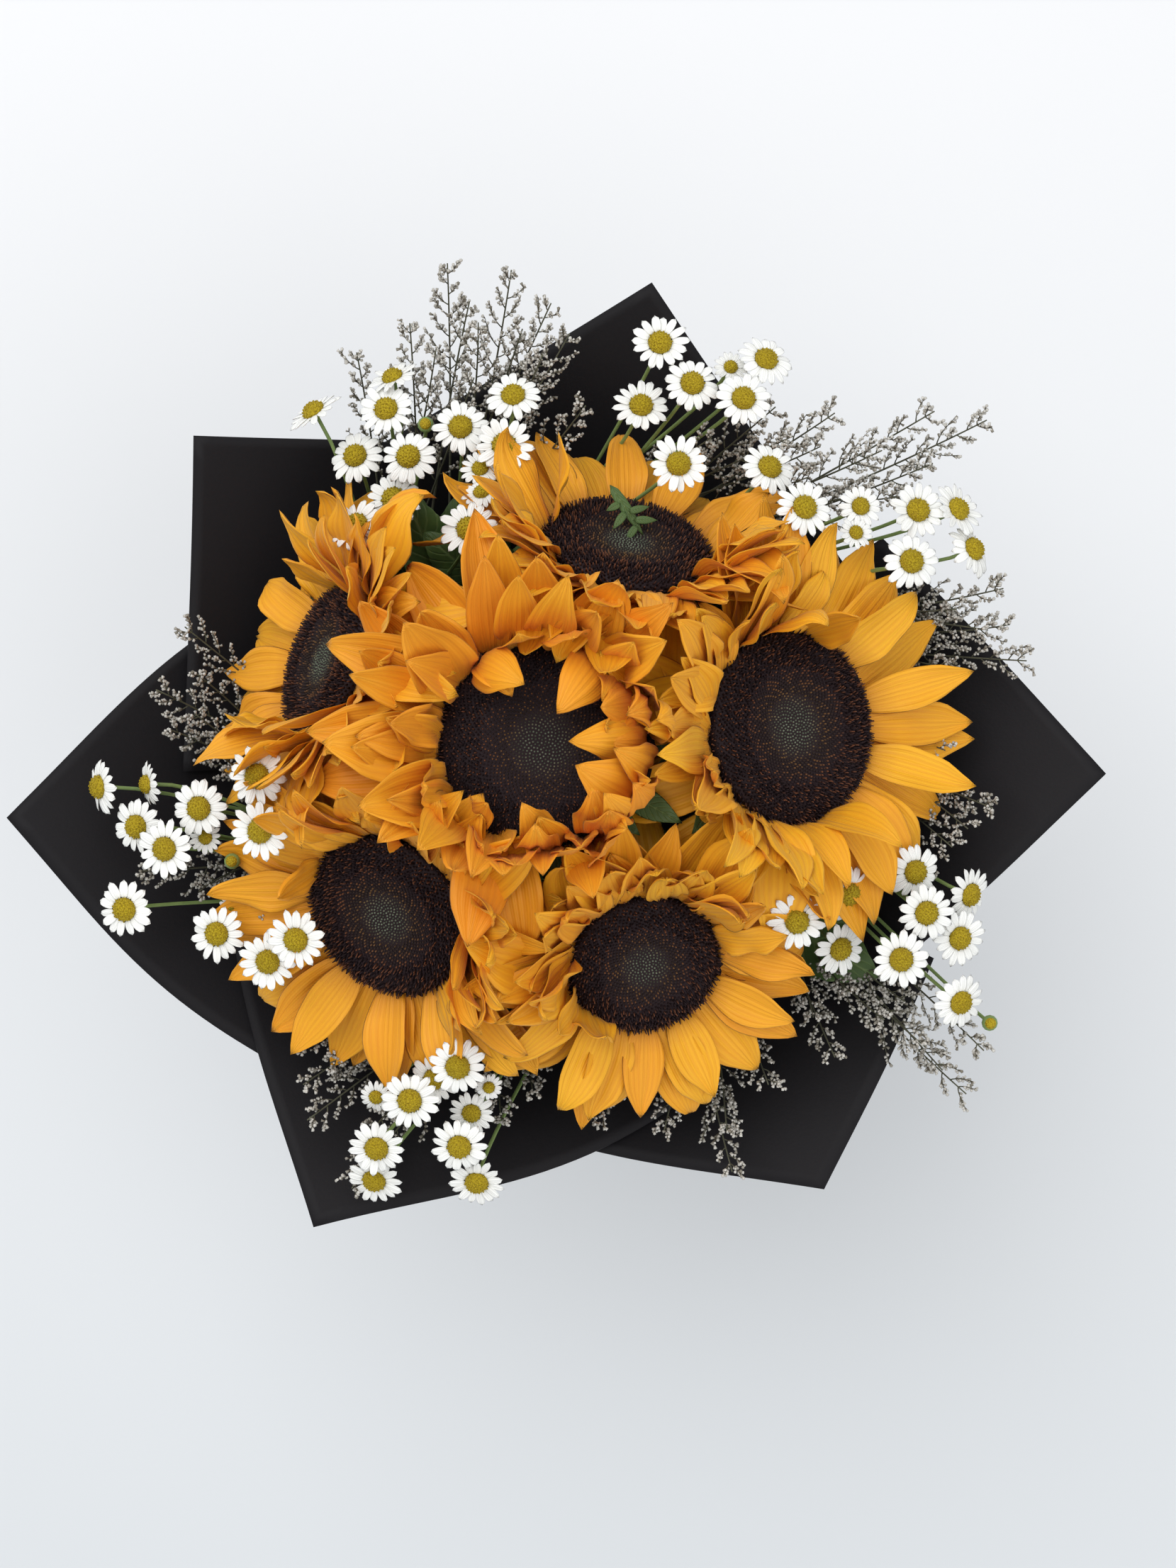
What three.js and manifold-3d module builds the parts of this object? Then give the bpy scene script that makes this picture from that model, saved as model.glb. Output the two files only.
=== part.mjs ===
import * as THREE from 'three';
import { mergeVertices } from 'three/addons/utils/BufferGeometryUtils.js';
import Module from 'manifold-3d';

// A hand-tied bunch of six sunflowers with chamomile and sea lavender in black paper.
// Millimetres, +Z up. The origin is on the surface that the cut stems stand on, under
// the middle of the bunch, and +Y is the top of the bunch as it is seen from above.

const CLEARANCE = 0.35; // between neighbouring pieces that would otherwise cross
const WELD = 1e-4;
const FINEST = 0.05; // detail left by a cut that is smaller than this is smoothed away
const DEGREE = Math.PI / 180;
const TURN = 2 * Math.PI;

// The stems cross in a spiral at the waist, where they are tied.
const WAIST_HEIGHT = 135;
const FOOT_DEPTH = 12; // how far a stem is drawn past the level cut
const INNER_RING = 10.5; // the five outer sunflower stems, round the middle one
const OUTER_RING = 17.2; // the thin stems round them
const OUTER_SLOPE = 0.55; // sideways run of a thin stem for each millimetre of rise
const STRAIGHT_TOP = 205; // the thin stems are straight up to this height

// Sunflowers: the middle of the disc's underside, the way the head faces and its tilt
// from upright, both in degrees, the disc's radius and the seed of its petals' draws.
// The upright one stands in the middle of the crowd, with all its petals held up.
const HEADS = [
  { name: 'centre', at: [-3, 1, 362], faces: 0, tilt: 3, disc: 37, seed: 31, upright: true },
  { name: 'right', at: [87, 8, 333], faces: 5, tilt: 31, disc: 36, seed: 12 },
  { name: 'top', at: [27.5, 74, 330], faces: 78, tilt: 54, disc: 31, seed: 23 },
  { name: 'lower_left', at: [-60, -61, 333], faces: 225, tilt: 33, disc: 32, seed: 44 },
  { name: 'bottom', at: [33.5, -79, 331], faces: -67, tilt: 27, disc: 28, seed: 55 },
  { name: 'left', at: [-83, 32, 326], faces: 162, tilt: 60, disc: 30, seed: 66 },
];
const DISC_SEGMENTS = 14;
const DISC_RELIEF = 0.55; // up and down, on the rings between the next two numbers
const RELIEF_RINGS = [3, 7];
const DISC_PROFILE = [
  [0, 0], [0.97, 0], [1, 1.3], [0.95, 3.4], [0.82, 4.9], [0.64, 5.2], [0.46, 4.5], [0.27, 3.8], [0, 3.9],
]; // part of the radius, height
const PLATE_TOP = -0.4; // the plate that carries the petals, under the disc
const PLATE_BOTTOM = -2.8;
const PLATE_RIM = 4.3; // outside the disc's edge
const PLATE_SIDES = 12;
const PETAL_ROOT = 1.3; // outside the disc's edge
const PETAL = { thickness: 1.5, columns: 2, rows: 3 }; // thickness at the midrib
const PETAL_LAYERS = [
  { count: 8, phase: 0, length: 44, lift: 20, root: -1.3 },
  { count: 8, phase: 0.5, length: 48, lift: 2, root: -2 },
];
const PETAL_WIDTH = [19, 23];
const PETAL_CURL = [6, 26];
const TYPICAL_DISC = 34; // petals are a little longer on a larger disc than this
const CROWDED_LIFT = 76; // how steeply petals stand where heads crowd each other
const CROWDED_TURNS = [-0.05, 0.45]; // cosines over which that starts, away from the lean
// The upright head: which way its crumpled side lies, and what its petals add to the
// lift and curl of their layer on that side (curled) and on the other (open).
const CRUMPLED_AZIMUTH = -35;
const CRUMPLED_FROM = 0.2; // cosine of the angle from the crumpled side
const CURLED = { lift: 60, curl: 45, length: 0.86 };
const OPEN = { lift: 48, lean: 12, curl: 0.6, length: 0.94 };
const LIFT_TRIES = [0, 6, -6, 12, -12, 18, -18, 26, 36, 46]; // degrees added until a petal is clear
const CALYX_TOP = -3.2;
const CALYX_DEPTH = 23;
const CALYX_SIDES = 8;
const CALYX_PROFILE = [[0.55, -15], [1, -6.2]]; // part of the rim's radius, height
const BRACT = { thickness: 1.6, columns: 2, rows: 2, length: 24, width: 12 };
const BRACTS = 5;
const BRACT_ROOT = [-5, -6.4]; // from the calyx's rim, height
const BRACT_POSE = { lift: -6, curl: -20 }; // degrees
const STEM_RADIUS = 4.5;
const STEM_SIDES = 5;
const NECK_RISE = 40; // the height over which a stem bends into its head's tilt
const NECK_LEAN = 0.385; // the part of the head's slope that the bend covers
const LEAF = { thickness: 1.6, columns: 2, rows: 3, length: 72, width: 46 };
const LEAF_HEIGHT = 232;
const LEAF_TURN = 34; // degrees from straight outwards

// Chamomile: flower places [x, y, z, outward tilt in degrees] and unopened buds.
const CHAMOMILE = [
  { name: 'chamomile_upper_left',
    flowers: [[-90, 127, 318, 60], [-75, 111, 314, 20], [-63, 128, 318, 20], [-54, 109, 326, 10],
      [-60, 94, 320, 15], [-72, 82, 338, 30]],
    buds: [[-48, 122, 320]] },
  { name: 'chamomile_top_left',
    flowers: [[-34.5, 120, 326, 12], [-15, 132, 324, 30], [-18, 112, 334, 10], [-30, 79, 352, 10]],
    buds: [] },
  { name: 'chamomile_top',
    flowers: [[40, 153, 318, 12], [52, 137, 322, 12], [33, 130, 314, 20], [46, 104, 342, 5],
      [80, 147, 316, 30], [71, 131, 324, 15]],
    buds: [] },
  { name: 'chamomile_right_top',
    flowers: [[80, 104, 332, 30], [92, 88, 342, 20], [137, 90, 318, 15], [132, 69, 336, 10],
      [153, 91, 312, 40], [159, 76, 311, 45]],
    buds: [] },
  { name: 'chamomile_right_low',
    flowers: [[110, -54, 326, 40], [136, -46, 318, 20], [139, -61, 326, 12], [158, -55, 309, 45],
      [153, -71, 316, 25]],
    buds: [] },
  { name: 'chamomile_lower_right',
    flowers: [[89, -63, 344, 12], [108, -75, 316, 30], [129, -78, 330, 8], [153, -95, 318, 30]],
    buds: [[166, -104, 308]] },
  { name: 'chamomile_bottom',
    flowers: [[-35, -117, 336, 8], [-53, -130, 332, 8], [-66, -149, 324, 15], [-68, -163, 312, 30],
      [-35, -148, 326, 15], [-29, -163, 316, 30]],
    buds: [] },
  { name: 'chamomile_left',
    flowers: [[-107, -10, 348, 5], [-106, -30, 348, 5], [-132, -22, 326, 8], [-144, -37, 330, 12],
      [-157, -29, 317, 25]],
    buds: [[-121, -42, 318]] },
  { name: 'chamomile_lower_left',
    flowers: [[-172, -14, 312, 55], [-161, -60, 320, 12], [-126, -69, 322, 12], [-106, -79, 328, 10],
      [-94, -70, 340, 10]],
    buds: [] },
];
const FLOWER = { rays: 6, radius: 11.5, ridge: 0.9, dome: 5.2, domeHeight: 4.2 }; // millimetres
const TIP_POINTS = [0.22, 0.78]; // where a ray's blunt tip starts and ends, as parts of its sector
const BUD_RADIUS = 3.4;
const THIN_STEM = 1.45;
const THIN_BRANCH = 0.85;
const THIN_SIDES = 3;
const THIN_STEPS = 6;
const BRANCH_STEPS = 2;
const ARRIVAL = 26; // a branch heads straight for its flower from about this far
const CHAMOMILE_FORK = [88, 252]; // radius and height where the topmost branch leaves
const LAVENDER_FORK = [95, 243];
const BRANCH_START = 0.82; // branches leave the stem from this part of its length up to the fork
const SIDE_TRIES = [0, 8, -8, 16, -16, 26, -26]; // sideways shifts of a branch's bend
const OUT_TRIES = [0, 14, 28, -12]; // outward shifts of it
const HEIGHT_TRIES = [0, 3, -3, 6, -6, 9]; // height changes of a flower or tip

// Sea lavender: the furthest tips of each spray.
const LAVENDER = [
  { name: 'lavender_top_left', seed: 201,
    tips: [[-40, 183, 318], [-16, 181, 316], [-28, 159, 326], [-4, 147, 326]] },
  { name: 'lavender_upper_left', seed: 202, tips: [[-54, 160, 320], [-75, 151, 310], [6, 157, 316]] },
  { name: 'lavender_top_right', seed: 203, tips: [[84, 130, 312], [106, 127, 316], [60, 119, 308]] },
  { name: 'lavender_right_top', seed: 204,
    tips: [[143, 127, 320], [163, 124, 318], [143, 108, 316], [123, 112, 322]] },
  { name: 'lavender_right', seed: 205, tips: [[170, 61, 314], [180, 34, 308], [154, 54, 304]] },
  { name: 'lavender_right_low', seed: 206, tips: [[166, -22, 314], [150, 0, 302], [152, -37, 306]] },
  { name: 'lavender_lower_right', seed: 207,
    tips: [[157, -131, 308], [163, -114, 312], [140, -112, 318], [107, -117, 308]] },
  { name: 'lavender_bottom', seed: 208, tips: [[68, -161, 306], [82, -128, 304], [42, -146, 304]] },
  { name: 'lavender_lower_left', seed: 209, tips: [[-98, -114, 306], [-94, -141, 308], [-77, -167, 308]] },
  { name: 'lavender_left', seed: 210, tips: [[-141, 47, 306], [-152, 23, 306], [-157, -46, 310]] },
];
const SPRIG_RADII = [0.8, 0.8, 2.8, 1, 3.2, 1.1, 0.3]; // clusters of calyces on a twig, root to tip
const SPRIG_BEND = 0.65; // the part of the way to the tip where a twig bends up
const SPRIG_SWAY = 8;
const SPRIG_RISE = [18, 28];

// Paper: six sheets, each with one square corner (tip) and two edges running from it to
// the shoulders, in two layers. Plan places; the funnel's profile gives the height.
const SHEETS = [
  { name: 'paper_right', layer: 0, tip: [212, -9], from: [122, -95], to: [130, 85] },
  { name: 'paper_upper_left', layer: 0, tip: [-141, 123], from: [-28, 122], to: [-149, -8] },
  { name: 'paper_lower_left', layer: 0, tip: [-93, -184], from: [-131, -60], to: [60, -134] },
  { name: 'paper_top', layer: 1, tip: [38, 184], from: [121, 70], to: [-78, 120] },
  { name: 'paper_left', layer: 1, tip: [-212, -26], from: [-120, 62], to: [-108, -126] },
  { name: 'paper_lower_right', layer: 1, tip: [105, -171], from: [-20, -150], to: [150, -82] },
];
const PAPER_THICKNESS = 0.6;
// Each layer's neck radius, and how far it lies under the funnel's profile at the neck
// and for each millimetre of radius.
const PAPER_LAYERS = [{ neck: 22, drop: 0, sag: 0 }, { neck: 23.2, drop: 2.4, sag: 0.018 }];
const FUNNEL = [[22, 146], [36, 172], [70, 208], [110, 240], [150, 268], [185, 288], [215, 302]];
const NECK_ROWS = [112, 146]; // heights of the gathered neck
const FLARE_RADII = [36, 70];
const EDGE_PARTS = [0.5, 1]; // parts of the way from the last flare radius to the edge
const SHEET_COLUMNS = 6;
const SHEET_NORMAL = [0.6, 0.8]; // inwards and upwards, square to the funnel

const TWINE = { inner: 19.6, outer: 20.9, low: 131, high: 139, segments: 16 };
const RIBBON = { inner: 24.6, outer: 25.6, low: 126, high: 143, segments: 16 };
const FLOOR = { width: 600, depth: 100 }; // the block that levels the cut ends

const wasm = await Module();
wasm.setup();

// ---------------------------------------------------------------- helpers

function seeded(seed) {
  let state = seed >>> 0;
  return () => {
    state = (state + 0x6d2b79f5) >>> 0;
    let value = Math.imul(state ^ (state >>> 15), state | 1);
    value ^= value + Math.imul(value ^ (value >>> 7), value | 61);
    return ((value ^ (value >>> 14)) >>> 0) / 4294967296;
  };
}

function between(random, low, high) {
  return low + (high - low) * random();
}

function solid(geometry) {
  geometry.deleteAttribute('normal');
  geometry.deleteAttribute('uv');
  const merged = mergeVertices(geometry, WELD);
  const index = merged.index.array;
  const kept = [];
  for (let i = 0; i < index.length; i += 3) {
    const [a, b, c] = [index[i], index[i + 1], index[i + 2]];
    if (a !== b && b !== c && c !== a) kept.push(a, b, c);
  }
  return new wasm.Manifold(new wasm.Mesh({
    numProp: 3,
    vertProperties: Float32Array.from(merged.attributes.position.array),
    triVerts: Uint32Array.from(kept),
  }));
}

function fuse(solids) {
  return solids.reduce((sum, next) => sum.add(next));
}

function largestBody(body) {
  const bodies = body.decompose();
  return bodies.reduce((best, next) => (next.volume() > best.volume() ? next : best));
}

function clearOf(body, obstacles) {
  return largestBody(obstacles.reduce((rest, obstacle) => rest.subtract(obstacle), body));
}

const taken = []; // the slightly larger shapes of placed pieces, which later ones keep clear of

// The first of several makers whose shape is clear of what is placed and of its own
// siblings, or of what is placed alone, or else the first.
function firstClear(makers, siblings) {
  const isClear = (body, obstacles) => obstacles.every((obstacle) => body.intersect(obstacle).isEmpty());
  const clear = makers.filter((make) => isClear(make(0), taken));
  const best = clear.find((make) => isClear(make(0), siblings)) ?? clear[0] ?? makers[0];
  siblings.push(best(0));
  return best;
}

// A closed plate from a grid of columns by rows. place(across, along, side) gives each
// point, with across from -1 to 1, along from 0 to 1, and side 1 in front or -1 behind.
function slab(columns, rows, place) {
  const points = [];
  for (const side of [1, -1]) {
    for (let row = 0; row <= rows; row++) {
      for (let column = 0; column <= columns; column++) {
        points.push(...place((2 * column) / columns - 1, row / rows, side).toArray());
      }
    }
  }
  const stride = columns + 1;
  const back = stride * (rows + 1);
  const index = [];
  for (let row = 0; row < rows; row++) {
    for (let column = 0; column < columns; column++) {
      const a = row * stride + column;
      const [b, c, d] = [a + 1, a + stride + 1, a + stride];
      index.push(a, b, c, a, c, d);
      index.push(back + a, back + c, back + b, back + a, back + d, back + c);
    }
  }
  const rim = [];
  for (let column = 0; column < columns; column++) rim.push(column);
  for (let row = 0; row < rows; row++) rim.push(row * stride + columns);
  for (let column = columns; column > 0; column--) rim.push(rows * stride + column);
  for (let row = rows; row > 0; row--) rim.push(row * stride);
  rim.forEach((p, i) => {
    const q = rim[(i + 1) % rim.length];
    index.push(q, p, back + p, q, back + p, back + q);
  });
  const geometry = new THREE.BufferGeometry();
  geometry.setAttribute('position', new THREE.Float32BufferAttribute(points, 3));
  geometry.setIndex(index);
  return geometry;
}

// A leaf or petal that leaves the origin along +X at the angle lift, bends by curl over
// its length, is cupped across and twisted, with +Z as its upper face. It is thickest
// along its midrib and thins out to its edges.
function blade(spec, grow = 0) {
  return slab(spec.columns, spec.rows, (across, along, side) => {
    const slope = spec.lift - spec.curl * along;
    const reach = (spec.length + grow) / spec.curl;
    const out = reach * (Math.sin(spec.lift) - Math.sin(slope));
    const up = reach * (Math.cos(slope) - Math.cos(spec.lift));
    const half = (spec.width / 2) * spec.outline(along) + grow;
    const sideways = across * half * Math.cos(spec.twist * along);
    const cupped = spec.cup * half * across * across * Math.min(1, 3 * along);
    const thick = (spec.thickness / 2) * (1 - across * across);
    const raise = across * half * Math.sin(spec.twist * along) + cupped + side * (thick + grow);
    return new THREE.Vector3(out - raise * Math.sin(slope), -sideways, up + raise * Math.cos(slope));
  });
}

function petalOutline(along) {
  return Math.sin(Math.PI * (0.12 + 0.88 * along)) ** 0.7;
}

function leafOutline(along) {
  return Math.sin(Math.PI * (0.06 + 0.94 * along)) ** 0.8;
}

function tube(curve, radius, sides, steps) {
  const corners = Array.from({ length: sides }, (_, i) => {
    const angle = (i / sides) * TURN;
    return new THREE.Vector2(radius * Math.cos(angle), radius * Math.sin(angle));
  });
  return new THREE.ExtrudeGeometry(new THREE.Shape(corners), { steps, extrudePath: curve });
}

function upright(geometry) {
  return geometry.rotateX(Math.PI / 2);
}

function turned(profile, segments) {
  const points = profile.map(([radius, height]) => new THREE.Vector2(radius, height));
  return upright(new THREE.LatheGeometry(points, segments));
}

function polar(radius, azimuth, height) {
  return new THREE.Vector3(radius * Math.cos(azimuth), radius * Math.sin(azimuth), height);
}

// ---------------------------------------------------------------- sunflowers

function headMatrix(head) {
  const place = new THREE.Matrix4().makeTranslation(...head.at);
  const facing = new THREE.Matrix4().makeRotationZ(head.faces * DEGREE);
  const leaning = new THREE.Matrix4().makeRotationY(head.tilt * DEGREE);
  return place.multiply(facing).multiply(leaning);
}

// The disc's florets are a relief: alternate points of its rings stand up and down.
function discGeometry(head, grow = 0) {
  const rim = DISC_PROFILE.length - 1;
  const profile = DISC_PROFILE.map(([part, height], ring) => {
    const low = ring < 2 ? -grow : grow;
    return [part * head.disc + (ring > 0 && ring < rim ? grow : 0), height + low];
  });
  const geometry = turned(profile, DISC_SEGMENTS);
  const position = geometry.attributes.position;
  for (let i = 0; i < position.count; i++) {
    const ring = i % profile.length;
    const spoke = Math.floor(i / profile.length) % DISC_SEGMENTS;
    if (ring < RELIEF_RINGS[0] || ring > RELIEF_RINGS[1]) continue;
    const sign = (spoke + ring) % 2 ? 1 : -1;
    position.setZ(i, position.getZ(i) + sign * DISC_RELIEF);
  }
  return geometry;
}

// Petals spread from the disc's edge and stand up where the head faces its neighbours.
// In the middle head those on the right and the lower side curl in over the disc.
function petalPose(head, turn, layer, random) {
  const lift = layer.lift + between(random, -4, 4);
  const curl = between(random, ...PETAL_CURL);
  const length = layer.length * between(random, 0.92, 1.08);
  if (head.upright) {
    const inward = Math.cos(turn - CRUMPLED_AZIMUTH * DEGREE);
    if (inward <= CRUMPLED_FROM) {
      const opened = lift + OPEN.lift + OPEN.lean * inward;
      return { lift: opened, curl: OPEN.curl * curl, length: OPEN.length * length };
    }
    const bend = curl + CURLED.curl * inward;
    return { lift: lift + CURLED.lift, curl: -bend, length: CURLED.length * length };
  }
  const crowd = THREE.MathUtils.smoothstep(-Math.cos(turn), ...CROWDED_TURNS);
  const stand = CROWDED_LIFT + head.tilt * Math.cos(turn) - layer.lift / 3;
  return { lift: THREE.MathUtils.lerp(lift, stand, crowd), curl: curl * (1 - 0.7 * crowd), length };
}

function petalSpecs(head) {
  const random = seeded(head.seed);
  const specs = [];
  for (const layer of PETAL_LAYERS) {
    for (let i = 0; i < layer.count; i++) {
      const turn = ((i + layer.phase + between(random, -0.12, 0.12)) * TURN) / layer.count;
      const pose = petalPose(head, turn, layer, random);
      specs.push({
        turn,
        root: layer.root,
        length: pose.length * Math.sqrt(head.disc / TYPICAL_DISC),
        width: between(random, ...PETAL_WIDTH),
        lift: pose.lift * DEGREE,
        curl: pose.curl * DEGREE,
        twist: between(random, -0.25, 0.25),
        cup: between(random, 0.1, 0.28),
      });
    }
  }
  return specs;
}

function plateGeometry(head, grow) {
  const radius = head.disc + PLATE_RIM + grow;
  const [low, high] = [PLATE_BOTTOM - grow, PLATE_TOP + grow];
  return turned([[0, low], [radius - 1, low], [radius, high], [0, high]], PLATE_SIDES);
}

function petalSolid(head, spec, grow) {
  const geometry = blade({ ...PETAL, ...spec, outline: petalOutline }, grow);
  geometry.translate(head.disc + PETAL_ROOT, 0, spec.root);
  return solid(geometry.rotateZ(spec.turn).applyMatrix4(headMatrix(head)));
}

// Each petal takes the first lift at which it is clear of everything already placed.
function petalMakers(head) {
  const plate = (grow) => solid(plateGeometry(head, grow).applyMatrix4(headMatrix(head)));
  const siblings = [];
  const petals = petalSpecs(head).map((spec) => {
    const makers = LIFT_TRIES.map((extra) => {
      const raised = { ...spec, lift: spec.lift + extra * DEGREE };
      return (grow) => petalSolid(head, raised, grow);
    });
    return firstClear(makers, siblings);
  });
  return [plate, ...petals];
}

function calyxSolids(head, matrix, grow) {
  const rim = head.disc + 1;
  const foot = -CALYX_DEPTH - 3;
  const side = CALYX_PROFILE.map(([part, height]) => [part * rim + grow, height - grow]);
  const top = CALYX_TOP + grow;
  const profile = [[0, foot], [STEM_RADIUS + 0.5 + grow, foot], ...side, [rim + grow, top], [0, top]];
  const cup = solid(turned(profile, CALYX_SIDES).applyMatrix4(matrix));
  const [lift, curl] = [BRACT_POSE.lift * DEGREE, BRACT_POSE.curl * DEGREE];
  const bracts = [];
  for (let i = 0; i < BRACTS; i++) {
    const spec = { ...BRACT, lift, curl, twist: 0, cup: 0.1, outline: leafOutline };
    const geometry = blade(spec, grow);
    geometry.translate(rim + BRACT_ROOT[0], 0, BRACT_ROOT[1]);
    geometry.rotateZ(((i + 0.5) * TURN) / BRACTS);
    bracts.push(solid(geometry.applyMatrix4(matrix)));
  }
  return [cup, ...bracts];
}

// A stem on the spiral: straight through its place on the waist ring, then on to the top.
function spiralLine(ring, slope, upperAzimuth, upperHeight) {
  const rise = upperHeight - WAIST_HEIGHT;
  const waistAzimuth = upperAzimuth - Math.atan2(slope * rise, ring);
  const waist = polar(ring, waistAzimuth, WAIST_HEIGHT);
  const heading = polar(slope, waistAzimuth + Math.PI / 2, 1);
  return (height) => waist.clone().addScaledVector(heading, height - WAIST_HEIGHT);
}

function sunflowerStemCurve(head) {
  const matrix = headMatrix(head);
  const neck = new THREE.Vector3(0, 0, -CALYX_DEPTH - 2).applyMatrix4(matrix);
  const top = new THREE.Vector3(0, 0, -CALYX_DEPTH + 6).applyMatrix4(matrix);
  if (head.upright) {
    const line = (height) => new THREE.Vector3(0, 0, height);
    return new THREE.CatmullRomCurve3([line(-FOOT_DEPTH), line(200), neck, top]);
  }
  const bendHeight = neck.z - NECK_RISE;
  const reach = Math.hypot(neck.x, neck.y) - NECK_LEAN * NECK_RISE * Math.tan(head.tilt * DEGREE);
  const slope = Math.sqrt(reach ** 2 - INNER_RING ** 2) / (bendHeight - WAIST_HEIGHT);
  const line = spiralLine(INNER_RING, slope, Math.atan2(neck.y, neck.x), bendHeight);
  const points = [line(-FOOT_DEPTH), line(60), line(WAIST_HEIGHT), line(200), line(bendHeight), neck, top];
  return new THREE.CatmullRomCurve3(points);
}

function leafSolid(head, curve, grow) {
  const points = curve.getSpacedPoints(60);
  const root = points.find((point) => point.z > LEAF_HEIGHT);
  const azimuth = Math.atan2(root.y, root.x) + LEAF_TURN * DEGREE;
  const shape = { lift: 52 * DEGREE, curl: 30 * DEGREE, twist: 0.2, cup: 0.2, outline: leafOutline };
  const geometry = blade({ ...LEAF, ...shape }, grow);
  geometry.rotateZ(azimuth);
  return solid(geometry.translate(root.x, root.y, root.z));
}

function stemMakers(head) {
  const matrix = headMatrix(head);
  const curve = sunflowerStemCurve(head);
  const steps = head.upright ? 3 : 6;
  const stem = (grow) => solid(tube(curve, STEM_RADIUS + grow, STEM_SIDES, steps));
  const calyx = (grow) => fuse(calyxSolids(head, matrix, grow));
  return head.upright ? [stem, calyx] : [stem, calyx, (grow) => leafSolid(head, curve, grow)];
}

// ---------------------------------------------------------------- thin stems

function azimuthOf(points) {
  const x = points.reduce((sum, point) => sum + point[0], 0);
  const y = points.reduce((sum, point) => sum + point[1], 0);
  return Math.atan2(y, x);
}

function wrapped(angle) {
  return angle - TURN * Math.round(angle / TURN);
}

// The thin stems share the outer ring evenly, in the order of the sprays they carry, and
// each fork lies halfway between its stem's share and the middle of what it carries.
function ringSlots(sprays) {
  const order = [...sprays].sort((a, b) => a.azimuth - b.azimuth);
  const step = TURN / order.length;
  const shift = order.reduce((sum, spray, i) => sum + wrapped(spray.azimuth - i * step), 0) / order.length;
  order.forEach((spray, i) => {
    spray.slot = i * step + shift;
    spray.forkAzimuth = spray.azimuth + wrapped(spray.slot - spray.azimuth) / 2;
  });
}

function forkOf(spray) {
  const [radius, height] = spray.flowers ? CHAMOMILE_FORK : LAVENDER_FORK;
  return polar(radius, spray.forkAzimuth, height);
}

function mainCurve(spray) {
  const line = spiralLine(OUTER_RING, OUTER_SLOPE, spray.slot, STRAIGHT_TOP);
  const points = [line(-FOOT_DEPTH), line(60), line(WAIST_HEIGHT), line(STRAIGHT_TOP), forkOf(spray)];
  return new THREE.CatmullRomCurve3(points);
}

// A bend moved sideways and outwards, as seen from the axis, by the two parts of shift.
function shifted(bend, shift) {
  const out = new THREE.Vector3(bend.x, bend.y, 0).normalize();
  const side = new THREE.Vector3(-out.y, out.x, 0);
  return bend.addScaledVector(side, shift[0]).addScaledVector(out, shift[1]);
}

// A branch leaves the main stem and arrives along the heading of what it carries.
function branch(start, end, arrive, shift, radius) {
  const bend = shifted(end.clone().sub(arrive), shift);
  return solid(tube(new THREE.QuadraticBezierCurve3(start, bend, end), radius, THIN_SIDES, BRANCH_STEPS));
}

// The shapes of one spray: its main stem, then one for each flower or tip, with the
// first bend that keeps it clear of everything already placed.
function sprayMakers(spray, carried, makeCarried) {
  const curve = mainCurve(spray);
  const stem = (grow) => solid(tube(curve, THIN_STEM + grow, THIN_SIDES, THIN_STEPS));
  const siblings = [];
  const parts = carried.map((item, i) => {
    const start = curve.getPointAt(BRANCH_START + ((1 - BRANCH_START) * (i + 0.5)) / carried.length);
    const shifts = OUT_TRIES.flatMap((out) => SIDE_TRIES.map((side) => [side, out]));
    const makers = HEIGHT_TRIES.flatMap((rise) => shifts.map(
      (shift) => (grow) => makeCarried(item, rise, start, shift, grow),
    ));
    return firstClear(makers, siblings);
  });
  return [stem, ...parts];
}

// ---------------------------------------------------------------- chamomile

function flowerMatrix([x, y, z, tilt = 0]) {
  const place = new THREE.Matrix4().makeTranslation(x, y, z);
  const facing = new THREE.Matrix4().makeRotationZ(Math.atan2(y, x));
  return place.multiply(facing).multiply(new THREE.Matrix4().makeRotationY(tilt * DEGREE));
}

// A flower in one closed surface: ridged blunt rays round a low dome. Each ray has two
// ridge points, above and below, and a rim of a notch and the two ends of its tip.
function flowerGeometry(spin, grow) {
  const { rays, radius, ridge, dome, domeHeight } = FLOWER;
  const points = [polar(0, 0, domeHeight + grow)];
  const index = [];
  for (let i = 0; i < rays; i++) {
    const at = (part) => ((i + part) / rays) * TURN + spin;
    points.push(polar(dome + grow, at(0.5), ridge + grow), polar(dome + grow, at(0.5), -ridge - grow));
    points.push(polar(dome + grow, at(0), 0));
    for (const part of TIP_POINTS) points.push(polar(radius + 2 * grow, at(part), 0));
    const [top, low, notch, tip, tipEnd] = [1, 2, 3, 4, 5].map((k) => k + i * 5);
    const [nextTop, nextLow, nextNotch] = [1, 2, 3].map((k) => k + ((i + 1) % rays) * 5);
    index.push(0, top, nextTop, top, notch, tip, top, tip, tipEnd);
    index.push(top, tipEnd, nextNotch, top, nextNotch, nextTop);
    index.push(low, tip, notch, low, tipEnd, tip);
    index.push(low, nextNotch, tipEnd, low, nextLow, nextNotch);
    if (i > 1) index.push(2, low, low - 5);
  }
  return new THREE.BufferGeometry().setFromPoints(points).setIndex(index);
}

// Only a flower has a tilt. Its place also turns it, so that no two point the same way.
function headGeometry(item, grow) {
  const isFlower = item.length > 3;
  const spin = item[0];
  return isFlower ? flowerGeometry(spin, grow) : new THREE.OctahedronGeometry(BUD_RADIUS + grow);
}

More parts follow.
